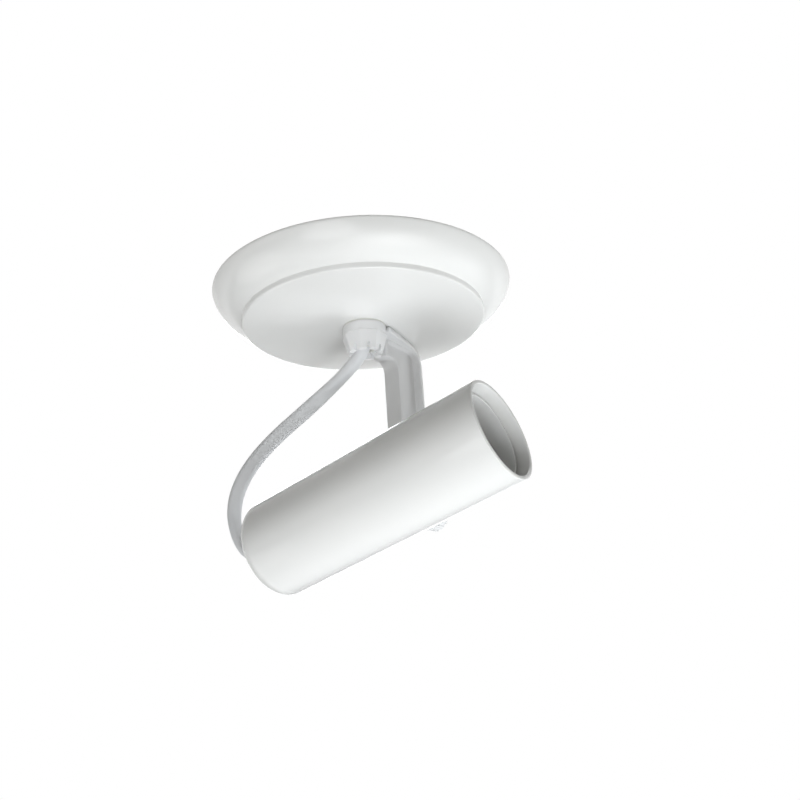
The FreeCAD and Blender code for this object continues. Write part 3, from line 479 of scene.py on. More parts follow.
ENAMEL = Finish("gloss_white_enamel", (0.80, 0.80, 0.79), (0.76, 0.765, 0.76), roughness=0.24,
                uneven=0.03, cloud_size=26 * MM, grain_size=0.9 * MM, grain_depth=0.004 * MM, coat=0.35)
MOULDED = Finish("white_moulded_plastic", (0.78, 0.78, 0.785), (0.73, 0.735, 0.745), roughness=0.32,
                 uneven=0.05, cloud_size=14 * MM, grain_size=0.35 * MM, grain_depth=0.006 * MM)
NYLON = Finish("natural_nylon", (0.74, 0.74, 0.71), (0.69, 0.69, 0.65), roughness=0.5)
SHEATH = Finish("pale_grey_cord_sheath", (0.72, 0.73, 0.745), (0.66, 0.67, 0.69), roughness=0.42,
                uneven=0.06, cloud_size=9 * MM, grain_size=1.6 * MM, grain_depth=0.003 * MM)
SUPPLY_LEADS = LeadPair("supply_lead_sheaths", (0.12, 0.05, 0.025), (0.09, 0.035, 0.02), roughness=0.38,
                        planes=(((1.6, 1.0, 0.0), 0.0), ((0.0, 1.0, 0.0), 18 * MM)))
HEAD_LEADS = LeadPair("head_lead_sheaths", (0.12, 0.05, 0.025), (0.09, 0.035, 0.02), roughness=0.38,
                      planes=(((0.2436, 0.0, -0.9699), -0.9699 * 86.5 * MM),))
ZINC = Finish("bright_zinc_plate", (0.66, 0.66, 0.64), (0.56, 0.57, 0.58), roughness=0.34, uneven=0.1,
              cloud_size=7 * MM, grain_size=0.25 * MM, grain_depth=0.006 * MM, metallic=1.0)
BRASS = Finish("bare_brass", (0.76, 0.56, 0.24), (0.64, 0.45, 0.18), roughness=0.3, metallic=1.0)
STEATITE = Finish("steatite_ceramic", (0.74, 0.71, 0.66), (0.68, 0.65, 0.60), roughness=0.62,
                  grain_depth=0.02 * MM)
SILVERED = Finish("silvered_bowl", (0.86, 0.86, 0.87), (0.80, 0.80, 0.82), roughness=0.16,
                  uneven=0.05, metallic=1.0)


LENS_GLASS = FrostedGlass("frosted_lens_glass", (0.93, 0.94, 0.94), (0.90, 0.91, 0.91), roughness=0.22,
                          uneven=0.06, grain_size=1.4 * MM, grain_depth=0.06 * MM)


# ------------------------------------------------------------------ camera first


@dataclass
class Viewpoint:
    """The photograph's camera, found by fitting the canopy's and the tube's outlines."""

    place: Point3 = (0.182187, -0.265637, -0.162046)
    right: Point3 = (0.83099, 0.55234, -0.06616)
    down: Point3 = (-0.23832, 0.24603, -0.93950)
    forward: Point3 = (-0.50265, 0.79649, 0.33609)
    focal_pixels: float = 875.485
    image_pixels: float = 800.0
    sensor_mm: float = 36.0

    def build(self) -> None:
        """Add the camera and make it the scene's own."""
        data = bpy.data.cameras.new("photo_camera")
        data.sensor_width = self.sensor_mm
        data.lens = self.sensor_mm * self.focal_pixels / self.image_pixels
        data.clip_start = 0.01
        data.clip_end = 20
        camera = bpy.data.objects.new("photo_camera", data)
        bpy.context.scene.collection.objects.link(camera)
        axes = Matrix((self.right, [-part for part in self.down], [-part for part in self.forward]))
        camera.matrix_world = Matrix.Translation(self.place) @ axes.transposed().to_4x4()
        bpy.context.scene.camera = camera


# ------------------------------------------------------------------ the free cord


HEAD_PIVOT = Vector(next(joint for joint in frame["joints"] if joint["name"] == "head_tilt")["pos_m"])
HEAD_TILT = math.radians(14.1)
HEAD_PLACE = Matrix.Translation(HEAD_PIVOT) @ Matrix.Rotation(math.pi / 2 - HEAD_TILT, 4, "Y")


@dataclass
class FreeCord:
    """The flat twin cord from the grip round into the tube's rear end."""

    width: float = 6.2 * MM
    thickness: float = 3.8 * MM
    waist: float = 0.12 * MM
    top: float = -8.5 * MM
    throat: float = -23.4 * MM
    landing: float = -56.0 * MM
    inside: float = -48.4 * MM
    round_points: int = 9
    smoothness: int = 12

    def route(self) -> list[Vector]:
        """The route's points in the row's frame."""
        middle = (self.top + self.throat) / 2
        return [
            Vector((0, 0, self.top)),
            Vector((0.00025, 0, middle)),
            Vector((0, 0, self.throat)),
            Vector((-0.0056, -0.0001, -0.0294)),
            Vector((-0.0152, -0.0003, -0.0354)),
            Vector((-0.0306, -0.0006, -0.0433)),
            Vector((-0.0470, -0.0011, -0.0513)),
            Vector((-0.0596, -0.0016, -0.0599)),
            Vector((-0.0674, -0.0020, -0.0696)),
            Vector((-0.0696, -0.0024, -0.0802)),
            Vector((-0.0670, -0.0027, -0.0898)),
            Vector((-0.0615, -0.0029, -0.0976)),
            HEAD_PLACE @ Vector((0, 0, self.landing)),
            HEAD_PLACE @ Vector((0, 0, self.inside)),
        ]

    def wide_side(self, share: float) -> Vector:
        """The direction of the flat cord's width; it turns over once on the way.

        Args:
            share: How far along the cord, from 0 to 1.

        Returns:
            A direction, not yet square to the cord.
        """
        across = Vector((0, 1, 0))
        turned_over = Vector((0.42, 0.56, -0.71))
        keys = ((0.0, across), (0.20, across), (0.42, turned_over), (0.68, turned_over),
                (0.86, across), (1.0, across))
        for (start, before), (end, after) in zip(keys, keys[1:]):
            if share <= end:
                part = (share - start) / (end - start)
                return before.lerp(after, part * part * (3 - 2 * part))
        return across

    def line(self) -> list[Vector]:
        """Points read from the route's smooth NURBS curve.

        Returns:
            The points along the cord's middle.
        """
        data = bpy.data.curves.new("cord_route", "CURVE")
        data.dimensions = "3D"
        data.resolution_u = self.smoothness
        spline = data.splines.new("NURBS")
        route = self.route()
        spline.points.add(len(route) - 1)
        for point, place in zip(spline.points, route):
            point.co = (*place, 1)
        spline.order_u = 3
        spline.use_endpoint_u = True
        curve = bpy.data.objects.new("cord_route", data)
        bare = bpy.data.meshes.new_from_object(curve)
        points = [vertex.co.copy() for vertex in bare.vertices]
        bpy.data.objects.remove(curve)
        bpy.data.meshes.remove(bare)
        return points

    def section(self) -> list[Point2]:
        """The cord's flat section, round at both edges and a little waisted in the middle."""
        half = self.thickness / 2
        centre = self.width / 2 - half
        right = arc((centre, 0), half, -90, 90, self.round_points)
        left = arc((-centre, 0), half, 90, 270, self.round_points)
        dip = half - self.waist
        return right + [(0.0, dip)] + left + [(0.0, -dip)]

    def build(self) -> None:
        path = self.line()
        outline = self.section()
        steps = [0.0]
        for before, after in zip(path, path[1:]):
            steps.append(steps[-1] + (after - before).length)
        places: list[Vector] = []
        for index, place in enumerate(path):
            along = (path[min(index + 1, len(path) - 1)] - path[max(index - 1, 0)]).normalized()
            wide = self.wide_side(steps[index] / steps[-1])
            wide = (wide - along * wide.dot(along)).normalized()
            thin = along.cross(wide)
            places += [place + wide * across + thin * up for across, up in outline]
        count = len(outline)
        faces = [(ring * count + index, ring * count + (index + 1) % count,
                  (ring + 1) * count + (index + 1) % count, (ring + 1) * count + index)
                 for ring in range(len(path) - 1) for index in range(count)]
        faces += [tuple(range(count))[::-1], tuple(range((len(path) - 1) * count, len(path) * count))]
        mesh = bpy.data.meshes.new("flat_cord")
        mesh.from_pydata(places, [], faces)
        cord = bpy.data.objects.new("flat_cord", mesh)
        bpy.context.scene.collection.objects.link(cord)
        take(cord)
        bpy.ops.object.mode_set(mode="EDIT")
        close_up(cord)
        settle(cord, smooth_angle=60)
        cord.data.materials.append(SHEATH.material())
        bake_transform(cord)
        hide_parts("cord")
        LOG.info("flat_cord: %.1f mm long, %d faces", steps[-1] / MM, len(cord.data.polygons))


# ------------------------------------------------------------------ dressing


def dress(piece: bpy.types.Object, body: Body, finish: Finish, slot: Slot, *nodes: str,
          place: Matrix | None = None, smooth_angle: float = 40) -> None:
    """Settle a piece, give it its material and its body, and hide the nodes it stands for.

    Args:
        piece: The finished object.
        body: The body it moves with.
        finish: Its surface.
        slot: The record's slot of that surface; not used.
        nodes: The CAD nodes that it replaces.
        place: Where its own frame stands in the row; none for a piece drawn in the row.
        smooth_angle: The greatest turn, in degrees, that is shaded smooth.
    """
    settle(piece, place, smooth_angle)
    piece.data.materials.clear()
    piece.data.materials.append(finish.material())
    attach(piece, body.value)
    if nodes:
        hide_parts(*nodes)
    LOG.info("%s: %d faces on %s", piece.name, len(piece.data.polygons), body.value)


def rod(name: str, radius: float, start: float, end: float, segments: int = 64) -> bpy.types.Object:
    """A plain round bar along Z, used to cut bores.

    Args:
        name: The new object's name.
        radius: Its radius.
        start: Its lower end.
        end: Its upper end.
        segments: Faces round it.

    Returns:
        The closed object.
    """
    return turned(name, [(AXIS, start), (radius, start), (radius, end), (AXIS, end)], segments)


# ------------------------------------------------------------------ canopy and what it hides


@dataclass
class Canopy:
    """The pressed cover: bullnose rim, narrow step, proud disc and its centre hole."""

    radius: float = 60.0 * MM
    wall: float = 1.2 * MM
    skirt: float = 0.8 * MM
    bulge_radius: float = 17.5 * MM
    disc_radius: float = 48.5 * MM
    shoulder: float = -12.0 * MM
    disc_height: float = -14.3 * MM
    disc_edge: float = 0.8 * MM
    centre_height: float = -14.9 * MM
    flat_radius: float = 12.0 * MM
    hole_radius: float = 5.2 * MM

    def outline(self) -> list[Point2]:
        """The wall's closed outline of (radius, height)."""
        outer = bulge((self.radius, -self.skirt), (self.disc_radius, self.shoulder),
                      self.bulge_radius, -1, 26)
        inner = bulge((self.disc_radius - self.wall, self.wall + self.shoulder),
                      (self.radius - self.wall, -self.skirt), self.bulge_radius - self.wall, 1, 26)
        corners = [(self.radius - self.wall, 0.0, 0.3 * MM), (self.radius, 0.0, 0.45 * MM), *outer[:-1],
                   (self.disc_radius, self.shoulder, 0.3 * MM),
                   (self.disc_radius, self.disc_height, self.disc_edge),
                   (self.flat_radius, self.centre_height, 8 * MM),
                   (self.hole_radius, self.centre_height, 0.3 * MM),
                   (self.hole_radius, self.centre_height + self.wall, 0.2 * MM),
                   (self.flat_radius, self.centre_height + self.wall, 8 * MM),
                   (self.disc_radius - self.wall, self.disc_height + self.wall, 0.3 * MM), *inner]
        return rounded(corners, steps=5)

    def build(self) -> None:
        """Turn the cover and dress it."""
        cover = turned("canopy_cover", self.outline(), segments=180)
        dress(cover, Body.CANOPY, ENAMEL, Slot.ENAMEL, "canopy", smooth_angle=35)


@dataclass
class Hanger:
    """What hangs the light: the bent crossbar, the threaded tube and its two nuts."""

    length: float = 80.0 * MM
    width: float = 18.0 * MM
    strip: float = 1.5 * MM
    drop: float = 9.0 * MM
    seat: float = 13.0 * MM
    pad: float = 21.0 * MM
    ear_width: float = 12.0 * MM
    ear_reach: float = 27.0 * MM
    slot_place: float = 30.0 * MM
    slot_length: float = 9.0 * MM
    slot_width: float = 4.6 * MM
    thread: float = 5.0 * MM
    thread_bore: float = 3.7 * MM
    pitch: float = 1.0 * MM
    tube_top: float = -5.5 * MM
    tube_end: float = -22.6 * MM
    nut_flats: float = 14.0 * MM
    nut_height: float = 3.0 * MM
    lower_nut_face: float = -13.7 * MM
    soft_bend: float = 2.6 * MM
    tight_bend: float = 1.2 * MM
    ear_round: float = 2.5 * MM
    screw_radius: float = 1.6 * MM
    screw_height: float = -20.0 * MM
    past: float = 4.0 * MM
    edge: float = 0.2 * MM
    play: float = 0.05 * MM

    def crossbar(self) -> None:
        """The bent strip with rounded bends, its ear, two slots and two holes."""
        shift = self.strip * math.tan(math.atan(self.drop / (self.pad - self.seat)) / 2)
        half, low = self.length / 2, -self.strip
        right = [(half, 0, 0), (self.pad, 0, self.tight_bend), (self.seat, -self.drop, self.soft_bend)]
        under = [(self.seat + shift, low - self.drop, self.tight_bend),
                 (self.pad + shift, low, self.soft_bend), (half, low, 0)]
        left = [(-across, up, soft) for side in (right, under) for across, up, soft in reversed(side)]
        bar = plate("crossbar", rounded([*right, *left, *under], steps=5), self.width)
        bar.rotation_euler.z = -math.pi / 2
        take(bar)
        bpy.ops.object.transform_apply(rotation=True)
        round_edges(bar, self.edge, segments=2, angle=50)
        far = self.pad + self.ear_width
        ear = plate("ear", rounded([
            (self.pad, 0, 0), (far, 0, 0), (far, self.ear_reach, self.ear_round),
            (self.pad, self.ear_reach, self.ear_round)]), self.strip)
        round_edges(ear, self.edge, segments=2, angle=50)
        ear.matrix_world = Matrix.Translation((0, 0, low / 2)) @ Matrix(
            ((0, 1, 0, 0), (0, 0, -1, 0), (-1, 0, 0, 0), (0, 0, 0, 1)))
        combine(bar, ear, "UNION")
        past, end = self.past, self.slot_length / 2 - self.slot_width / 2
        for side in (-1, 1):
            for place in (-end, 0, end):
                if place:
                    cutter = rod("slot", self.slot_width / 2, -past, past, 40)
                else:
                    cutter = plate("slot", [(-end, -past), (end, -past), (end, past), (-end, past)],
                                   self.slot_width)
                    cutter.rotation_euler.z = -math.pi / 2
                cutter.location.x = side * self.slot_place + place
                combine(bar, cutter, "DIFFERENCE")
        combine(bar, rod("hole", self.thread + self.play, -self.drop - past, past), "DIFFERENCE")
        screw_hole = rod("hole", self.screw_radius, -past, past, 32)
        screw_hole.location = (self.pad + self.ear_width / 2, self.screw_height, 0)
        combine(bar, screw_hole, "DIFFERENCE")
        dress(bar, Body.CANOPY, ZINC, Slot.ZINC, "ceiling_bracket", smooth_angle=30)

    def threaded_tube(self) -> None:
        """The hollow tube with its thread's ridges."""
        root = self.thread - 0.45 * MM
        ridges = [(self.thread_bore, self.tube_top, 0.2 * MM), (root, self.tube_top, 0.2 * MM)]
        height = self.tube_top - self.pitch
        while height > self.tube_end + self.pitch:
            ridges += [(root, height, 0), (self.thread, height - 0.40 * self.pitch, 0),
                       (self.thread, height - 0.55 * self.pitch, 0), (root, height - 0.92 * self.pitch, 0)]
            height -= self.pitch
        ridges += [(root, self.tube_end, 0.2 * MM), (self.thread_bore, self.tube_end, 0.2 * MM)]
        tube = turned("threaded_tube", rounded(ridges, steps=3), segments=72)
        dress(tube, Body.CANOPY, ZINC, Slot.ZINC, "nipple", smooth_angle=25)

    def nut(self, name: str, low: float, high: float, node: str) -> None:
        """A hexagon nut with turned-down corners.

        Args:
            name: The piece's name.
            low: Its lower face.
            high: Its upper face.
            node: The CAD node that it replaces.
        """
        clear_selection()
        corner = self.nut_flats / 2 / math.cos(math.pi / 6)
        bpy.ops.mesh.primitive_cylinder_add(vertices=6, radius=corner, depth=high - low,
                                            location=(0, 0, (low + high) / 2), rotation=(0, 0, math.pi / 6))
        nut = name_piece(name)
        bpy.ops.object.transform_apply(location=True, rotation=True)
        flat, fall = self.nut_flats / 2, 0.62 * (corner - self.nut_flats / 2)
        envelope = turned("envelope", [
            (AXIS, low), (flat, low), (corner, low + fall), (corner, high - fall), (flat, high),
            (AXIS, high)], 90)
        combine(nut, envelope, "INTERSECT")
        combine(nut, rod("bore", self.thread + self.play, low - 1 * MM, high + 1 * MM), "DIFFERENCE")
        dress(nut, Body.CANOPY, ZINC, Slot.ZINC, node, smooth_angle=25)

    def build(self) -> None:
        """Build every piece of the hanger."""
        self.crossbar()
        self.threaded_tube()
        self.nut("upper_nut", -self.drop, self.nut_height - self.drop, "upper_locknut")
        self.nut("lower_nut", self.lower_nut_face, -self.drop - self.strip, "lower_locknut")


# ------------------------------------------------------------------ arm and cord grip


@dataclass
class SwivelArm:
    """The moulded arm: foot ring, ribbed L, wide outer flange and pivot boss."""

    foot_top: float = -15.5 * MM
    foot_thickness: float = 4.0 * MM
    foot_radius: float = 8.7 * MM
    hole_radius: float = 5.2 * MM
    thickness: float = 7.1 * MM
    depth: float = 9.8 * MM
    root: float = 9.2 * MM
    root_lap: float = 1.0 * MM
    leg_inner: float = 17.6 * MM
    leg_outer: float = 35.7 * MM
    boss_face: float = 36.3 * MM
    outer_bend: float = 8.0 * MM
    inner_bend: float = 5.0 * MM
    rib: float = 2.2 * MM
    pocket: float = 2.4 * MM
    pivot: float = -86.5 * MM
    boss_radius: float = 6.5 * MM
    boss_rim: float = 0.4 * MM
    bolt_way: float = 2.6 * MM
    flange_thickness: float = 2.0 * MM
    flange_half: float = 4.4 * MM
    flange_end: float = -84.0 * MM
    edge: float = 0.45 * MM

    def profile(self, inset: float, end: float) -> list[Point2]:
        """The L's outline of (y, z), drawn in by a margin, down to a height.

        Args:
            inset: The margin.
            end: The height of its lower end.

        Returns:
            The outline with both bends rounded.
        """
        top = self.foot_top - inset
        under = self.foot_top - self.depth + inset
        outer, inner, root = self.leg_outer - inset, self.leg_inner + inset, self.root + inset
        soft = 0.8 * MM if inset else 0.0
        return rounded([
            (root, top, soft), (outer, top, self.outer_bend - inset), (outer, end, soft),
            (inner, end, soft), (inner, under, self.inner_bend + inset), (root, under, soft)], steps=10)

    def leg(self) -> bpy.types.Object:
        """The L-shaped block with a pocket on each side, which leaves ribs round a web."""
        block = plate("swivel_arm", self.profile(0, self.pivot), self.thickness)
        round_edges(block, self.edge, segments=3, angle=60)
        floor = self.pivot + self.boss_radius + self.boss_rim
        for side in (-1, 1):
            cutter = plate("pocket", self.profile(self.rib, floor), self.thickness)
            round_edges(cutter, 0.6 * MM, segments=3, angle=60)
            cutter.location.x = side * (self.thickness - self.pocket)
            combine(block, cutter, "DIFFERENCE")
        return block

    def flange(self) -> bpy.types.Object:
        """The wide rib along the arm's outer side, tapered from the foot to the leg."""
        top, thick, bend = self.foot_top, self.flange_thickness, self.outer_bend
        outline = rounded([
            (self.hole_radius, top, 0), (self.leg_outer, top, bend),
            (self.leg_outer, self.flange_end, 0), (self.leg_outer - thick, self.flange_end, 1.2 * MM),
            (self.leg_outer - thick, top - thick, bend - thick),
            (self.hole_radius, top - thick, 0)], steps=12)
        band = plate("flange", outline, 2 * self.foot_radius)
        bpy.ops.object.mode_set(mode="EDIT")
        start = Vector((self.foot_radius, self.foot_radius / 2, 0))
        end = Vector((self.flange_half, self.leg_outer, 0))
        for side in (1, -1):
            way = end - start
            bpy.ops.mesh.select_all(action="SELECT")
            bpy.ops.mesh.bisect(plane_co=(side * start.x, start.y, 0),
                                plane_no=(side * way.y, -way.x, 0), use_fill=True, clear_outer=True)
        close_up(band)
        round_edges(band, 0.55 * MM, segments=3, angle=50)
        return band

    def boss(self) -> bpy.types.Object:
        """The round boss across the leg's end, with rounded edges."""
        length = self.boss_face - self.leg_inner
        outline = rounded([
            (AXIS, 0, 0), (self.boss_radius, 0, self.edge), (self.boss_radius, length, 0.7 * MM),
            (AXIS, length, 0)], steps=4)
        boss = turned("boss", outline, segments=72)
        boss.matrix_world = Matrix.Translation((0, self.leg_inner, self.pivot)) @ Matrix.Rotation(
            -math.pi / 2, 4, "X")
        return boss

    def foot(self) -> bpy.types.Object:
        """The foot ring's disc, with a rounded underside."""
        low = self.foot_top - self.foot_thickness
        outline = rounded([(AXIS, low, 0), (self.foot_radius, low, 0.3 * MM),
                           (self.foot_radius, self.foot_top, 0.4 * MM), (AXIS, self.foot_top, 0)], steps=5)
        return turned("foot", outline, segments=96)

    def bridge(self) -> bpy.types.Object:
        """The short block that ties the L to the foot."""
        low = self.foot_top - self.foot_thickness
        outline = [(self.foot_radius / 2, low), (self.root + self.root_lap, low),
                   (self.root + self.root_lap, self.foot_top), (self.foot_radius / 2, self.foot_top)]
        return plate("bridge", outline, self.thickness - 2 * self.edge)

    def build(self) -> None:
        """Model the arm and dress it."""
        arm = self.leg()
        for part in (self.flange(), self.bridge(), self.foot(), self.boss()):
            combine(arm, part, "UNION")
        bore = rod("bore", self.hole_radius, self.foot_top - 2 * self.foot_thickness, -10 * MM)
        combine(arm, bore, "DIFFERENCE")
        way = rod("way", self.bolt_way, 0, 40 * MM)
        way.matrix_world = Matrix.Translation((0, 5 * MM, self.pivot)) @ Matrix.Rotation(-math.pi / 2, 4, "X")
        combine(arm, way, "DIFFERENCE")
        dress(arm, Body.ARM, MOULDED, Slot.PLASTIC, "arm", smooth_angle=32)


@dataclass
class CordGrip:
    """The faceted grip under the foot, its notched fingers and the soft ring inside."""

    facets: int = 8
    top: float = -19.5 * MM
    bottom: float = -26.8 * MM
    top_flats: float = 17.2 * MM
    bottom_flats: float = 13.2 * MM
    nut_room: float = 6.8 * MM
    nut_depth: float = -22.9 * MM
    ring_radius: float = 3.8 * MM
    ring_top: float = -23.4 * MM
    ring_height: float = 1.6 * MM
    ring_bore: float = 3.2 * MM
    mouth_radius: float = 5.0 * MM
    notch: float = 1.3 * MM
    notch_height: float = 2.3 * MM
    edge: float = 0.35 * MM

    def build(self) -> None:
        """Model the grip and the ring, and dress both."""
        clear_selection()
        to_corner = 1 / math.cos(math.pi / self.facets) / 2
        bpy.ops.mesh.primitive_cone_add(
            vertices=self.facets, radius1=self.bottom_flats * to_corner,
            radius2=self.top_flats * to_corner, depth=self.top - self.bottom,
            location=(0, 0, (self.top + self.bottom) / 2), rotation=(0, 0, math.pi / self.facets))
        grip = name_piece("faceted_cord_grip")
        bpy.ops.object.transform_apply(location=True, rotation=True)
        round_edges(grip, self.edge, segments=4, angle=20)
        low = self.ring_top - self.ring_height
        cavity = turned("cavity", rounded([
            (AXIS, self.top + 1 * MM, 0), (self.nut_room, self.top + 1 * MM, 0),
            (self.nut_room, self.nut_depth, 0), (self.ring_radius, self.ring_top, 0.2 * MM),
            (self.ring_radius, low, 0.3 * MM), (self.mouth_radius, self.bottom, 0),
            (self.mouth_radius + 0.6 * MM, self.bottom - 1 * MM, 0), (AXIS, self.bottom - 1 * MM, 0)]), 72)
        combine(grip, cavity, "DIFFERENCE")
        below = self.bottom - 1 * MM
        half = self.notch / 2
        for turn in range(self.facets // 2):
            slot = plate("notch", rounded([(-half, below, 0), (half, below, 0),
                                           (half, self.bottom + self.notch_height, half),
                                           (-half, self.bottom + self.notch_height, half)]), 24 * MM)
            slot.rotation_euler.z = turn * 2 * math.pi / self.facets
            combine(grip, slot, "DIFFERENCE")
        dress(grip, Body.ARM, MOULDED, Slot.PLASTIC, "cord_grip", smooth_angle=28)
        ring = turned("soft_grip_ring", rounded([
            (self.ring_bore, self.ring_top, 0.2 * MM), (self.ring_bore, low, 0.3 * MM),
            (self.ring_radius, low, 0.2 * MM), (self.ring_radius, self.ring_top, 0.2 * MM)]), 64)
        dress(ring, Body.ARM, NYLON, Slot.NYLON, "grip_insert")


# ------------------------------------------------------------------ head


@dataclass
class LampHead:
    """The drawn tube with its baffle ring, bush, lamp front and lens."""

    radius: float = 19.4 * MM
    bore: float = 17.7 * MM
    wall: float = 1.7 * MM
    mouth: float = 59.0 * MM
    rear: float = -51.0 * MM
    rear_round: float = 6.2 * MM
    rear_hole: float = 4.0 * MM
    bolt_way: float = 2.6 * MM
    bolt_band: float = 7.5 * MM
    ring_front: float = 54.3 * MM
    ring_back: float = 38.6 * MM
    ring_gap: float = 0.1 * MM
    lip_radius: float = 16.6 * MM
    lip_height: float = 1.3 * MM
    ring_bore: float = 15.6 * MM
    bush_bore: float = 3.2 * MM
    bush_flange: float = 6.0 * MM
    bush_height: float = 1.4 * MM
    lamp_front_face: float = 38.5 * MM
    bowl_radius: float = 17.4 * MM
    bowl_wall: float = 1.0 * MM
    bowl_rim: float = 3.0 * MM
    bowl_hole: float = 7.8 * MM
    neck: float = 16.5 * MM
    neck_radius: float = 10.8 * MM
    lens_ring: float = 1.3 * MM

    def tube(self) -> None:
        """The tube: rolled mouth edge, rounded rear end, cord hole and bolt hole."""
        shoulder = self.radius - self.rear_round
        outer = bulge((self.radius, self.rear + self.rear_round), (shoulder, self.rear),
                      self.rear_round, -1, 12)
        inner = bulge((shoulder, self.rear + self.wall), (self.bore, self.rear + self.rear_round),
                      self.rear_round - self.wall, 1, 10)
        corners = [(self.bore, self.mouth, 0.5 * MM), (self.radius, self.mouth, 0.6 * MM),
                   (self.radius, self.bolt_band, 0), (self.radius, -self.bolt_band, 0), *outer,
                   (self.rear_hole, self.rear, 0.3 * MM), (self.rear_hole, self.rear + self.wall, 0.3 * MM),
                   *inner, (self.bore, -self.bolt_band, 0), (self.bore, self.bolt_band, 0)]
        tube = turned("lamp_tube", rounded(corners, steps=5), segments=144)
        way = rod("way", self.bolt_way, 0, 1.2 * self.radius)
        way.matrix_world = Matrix.Rotation(-math.pi / 2, 4, "X")
        combine(tube, way, "DIFFERENCE")
        dress(tube, Body.HEAD, ENAMEL, Slot.ENAMEL, "head_tube", place=HEAD_PLACE, smooth_angle=35)

    def baffle(self) -> None:
        """The ring in the mouth, with its raised lip and the narrow groove outside it."""
        outer = self.bore - self.ring_gap
        ledge = self.ring_front - self.lip_height
        corners = [(self.ring_bore, self.ring_back, 0.2 * MM), (outer, self.ring_back, 0.2 * MM),
                   (outer, ledge, 0.15 * MM), (self.lip_radius, ledge, 0.15 * MM),
                   (self.lip_radius, self.ring_front, 0.4 * MM), (self.ring_bore, self.ring_front, 0.4 * MM)]
        ring = turned("baffle_ring", rounded(corners, steps=4), segments=144)
        dress(ring, Body.HEAD, ENAMEL, Slot.ENAMEL, "front_ring", place=HEAD_PLACE, smooth_angle=35)

    def bush(self) -> None:
        """The snap-in bush that leads the cord through the rear end."""
        sleeve = self.rear_hole - 0.05 * MM
        inside = self.rear + self.wall
        corners = [(self.bush_bore, self.rear - self.bush_height, 0.5 * MM),
                   (self.bush_flange, self.rear - self.bush_height, 0.6 * MM),
                   (self.bush_flange, self.rear, 0.1 * MM), (sleeve, self.rear, 0),
                   (sleeve, inside, 0), (sleeve + 0.8 * MM, inside, 0.1 * MM),
                   (sleeve + 0.3 * MM, inside + 1.2 * MM, 0.3 * MM),
                   (self.bush_bore, inside + 1.2 * MM, 0.3 * MM)]
        bush = turned("cord_bush", rounded(corners, steps=4), segments=72)
        dress(bush, Body.HEAD, NYLON, Slot.NYLON, "rear_bush", place=HEAD_PLACE)

    def lamp_front(self) -> None:
        """The lamp's faceted bowl, its burner and the ringed glass in front."""
        flare = self.bowl_radius - self.neck_radius
        rim, back = self.lamp_front_face - self.bowl_rim, self.neck + self.bowl_wall
        outer_depth, inner_depth = rim - self.neck, rim - back
        edge = self.bowl_radius - self.bowl_wall
        outer = bulge((self.bowl_radius, rim), (self.neck_radius, self.neck),
                      (flare**2 + outer_depth**2) / 2 / flare, -1, 7)
        inner = bulge((self.neck_radius - self.bowl_wall, back), (edge, rim),
                      (flare**2 + inner_depth**2) / 2 / flare, 1, 7)
        corners = [(edge, self.lamp_front_face, 0), (self.bowl_radius, self.lamp_front_face, 0), *outer,
                   (self.bowl_hole, self.neck, 0), (self.bowl_hole, back, 0), *inner]
        bowl = turned("faceted_lamp_bowl", rounded(corners), segments=30)
        dress(bowl, Body.HEAD, SILVERED, Slot.SILVER, "lamp_reflector", place=HEAD_PLACE, smooth_angle=2)
        burner = turned("lamp_burner", rounded([
            (AXIS, self.neck, 0), (2.6 * MM, self.neck, 0), (2.6 * MM, self.neck + 1 * MM, 0.3 * MM),
            (3.4 * MM, self.neck + 2.5 * MM, 0.8 * MM), (3.4 * MM, self.neck + 8 * MM, 1.8 * MM),
            (1.0 * MM, self.neck + 11 * MM, 0.8 * MM), (AXIS, self.neck + 11.6 * MM, 0)]), 40)
        dress(burner, Body.HEAD, LENS_GLASS, Slot.GLASS, place=HEAD_PLACE)
        lens_radius = edge - 0.05 * MM
        front, rear = self.lamp_front_face - 0.3 * MM, self.lamp_front_face - 2 * MM
        face = [(lens_radius - step * self.lens_ring, front - (step % 2) * 0.35 * MM, 0.3 * MM)
                for step in range(1, 11)]
        lens = turned("ringed_lamp_lens", rounded([
            (AXIS, rear, 0), (lens_radius, rear, 0.2 * MM), (lens_radius, front, 0.3 * MM), *face,
            (AXIS, front, 0)], steps=3), 96)
        dress(lens, Body.HEAD, LENS_GLASS, Slot.GLASS, "lamp_lens", place=HEAD_PLACE, smooth_angle=60)

    def build(self) -> None:
        """Build every piece of the head."""
        self.tube()
        self.baffle()
        self.bush()
        self.lamp_front()


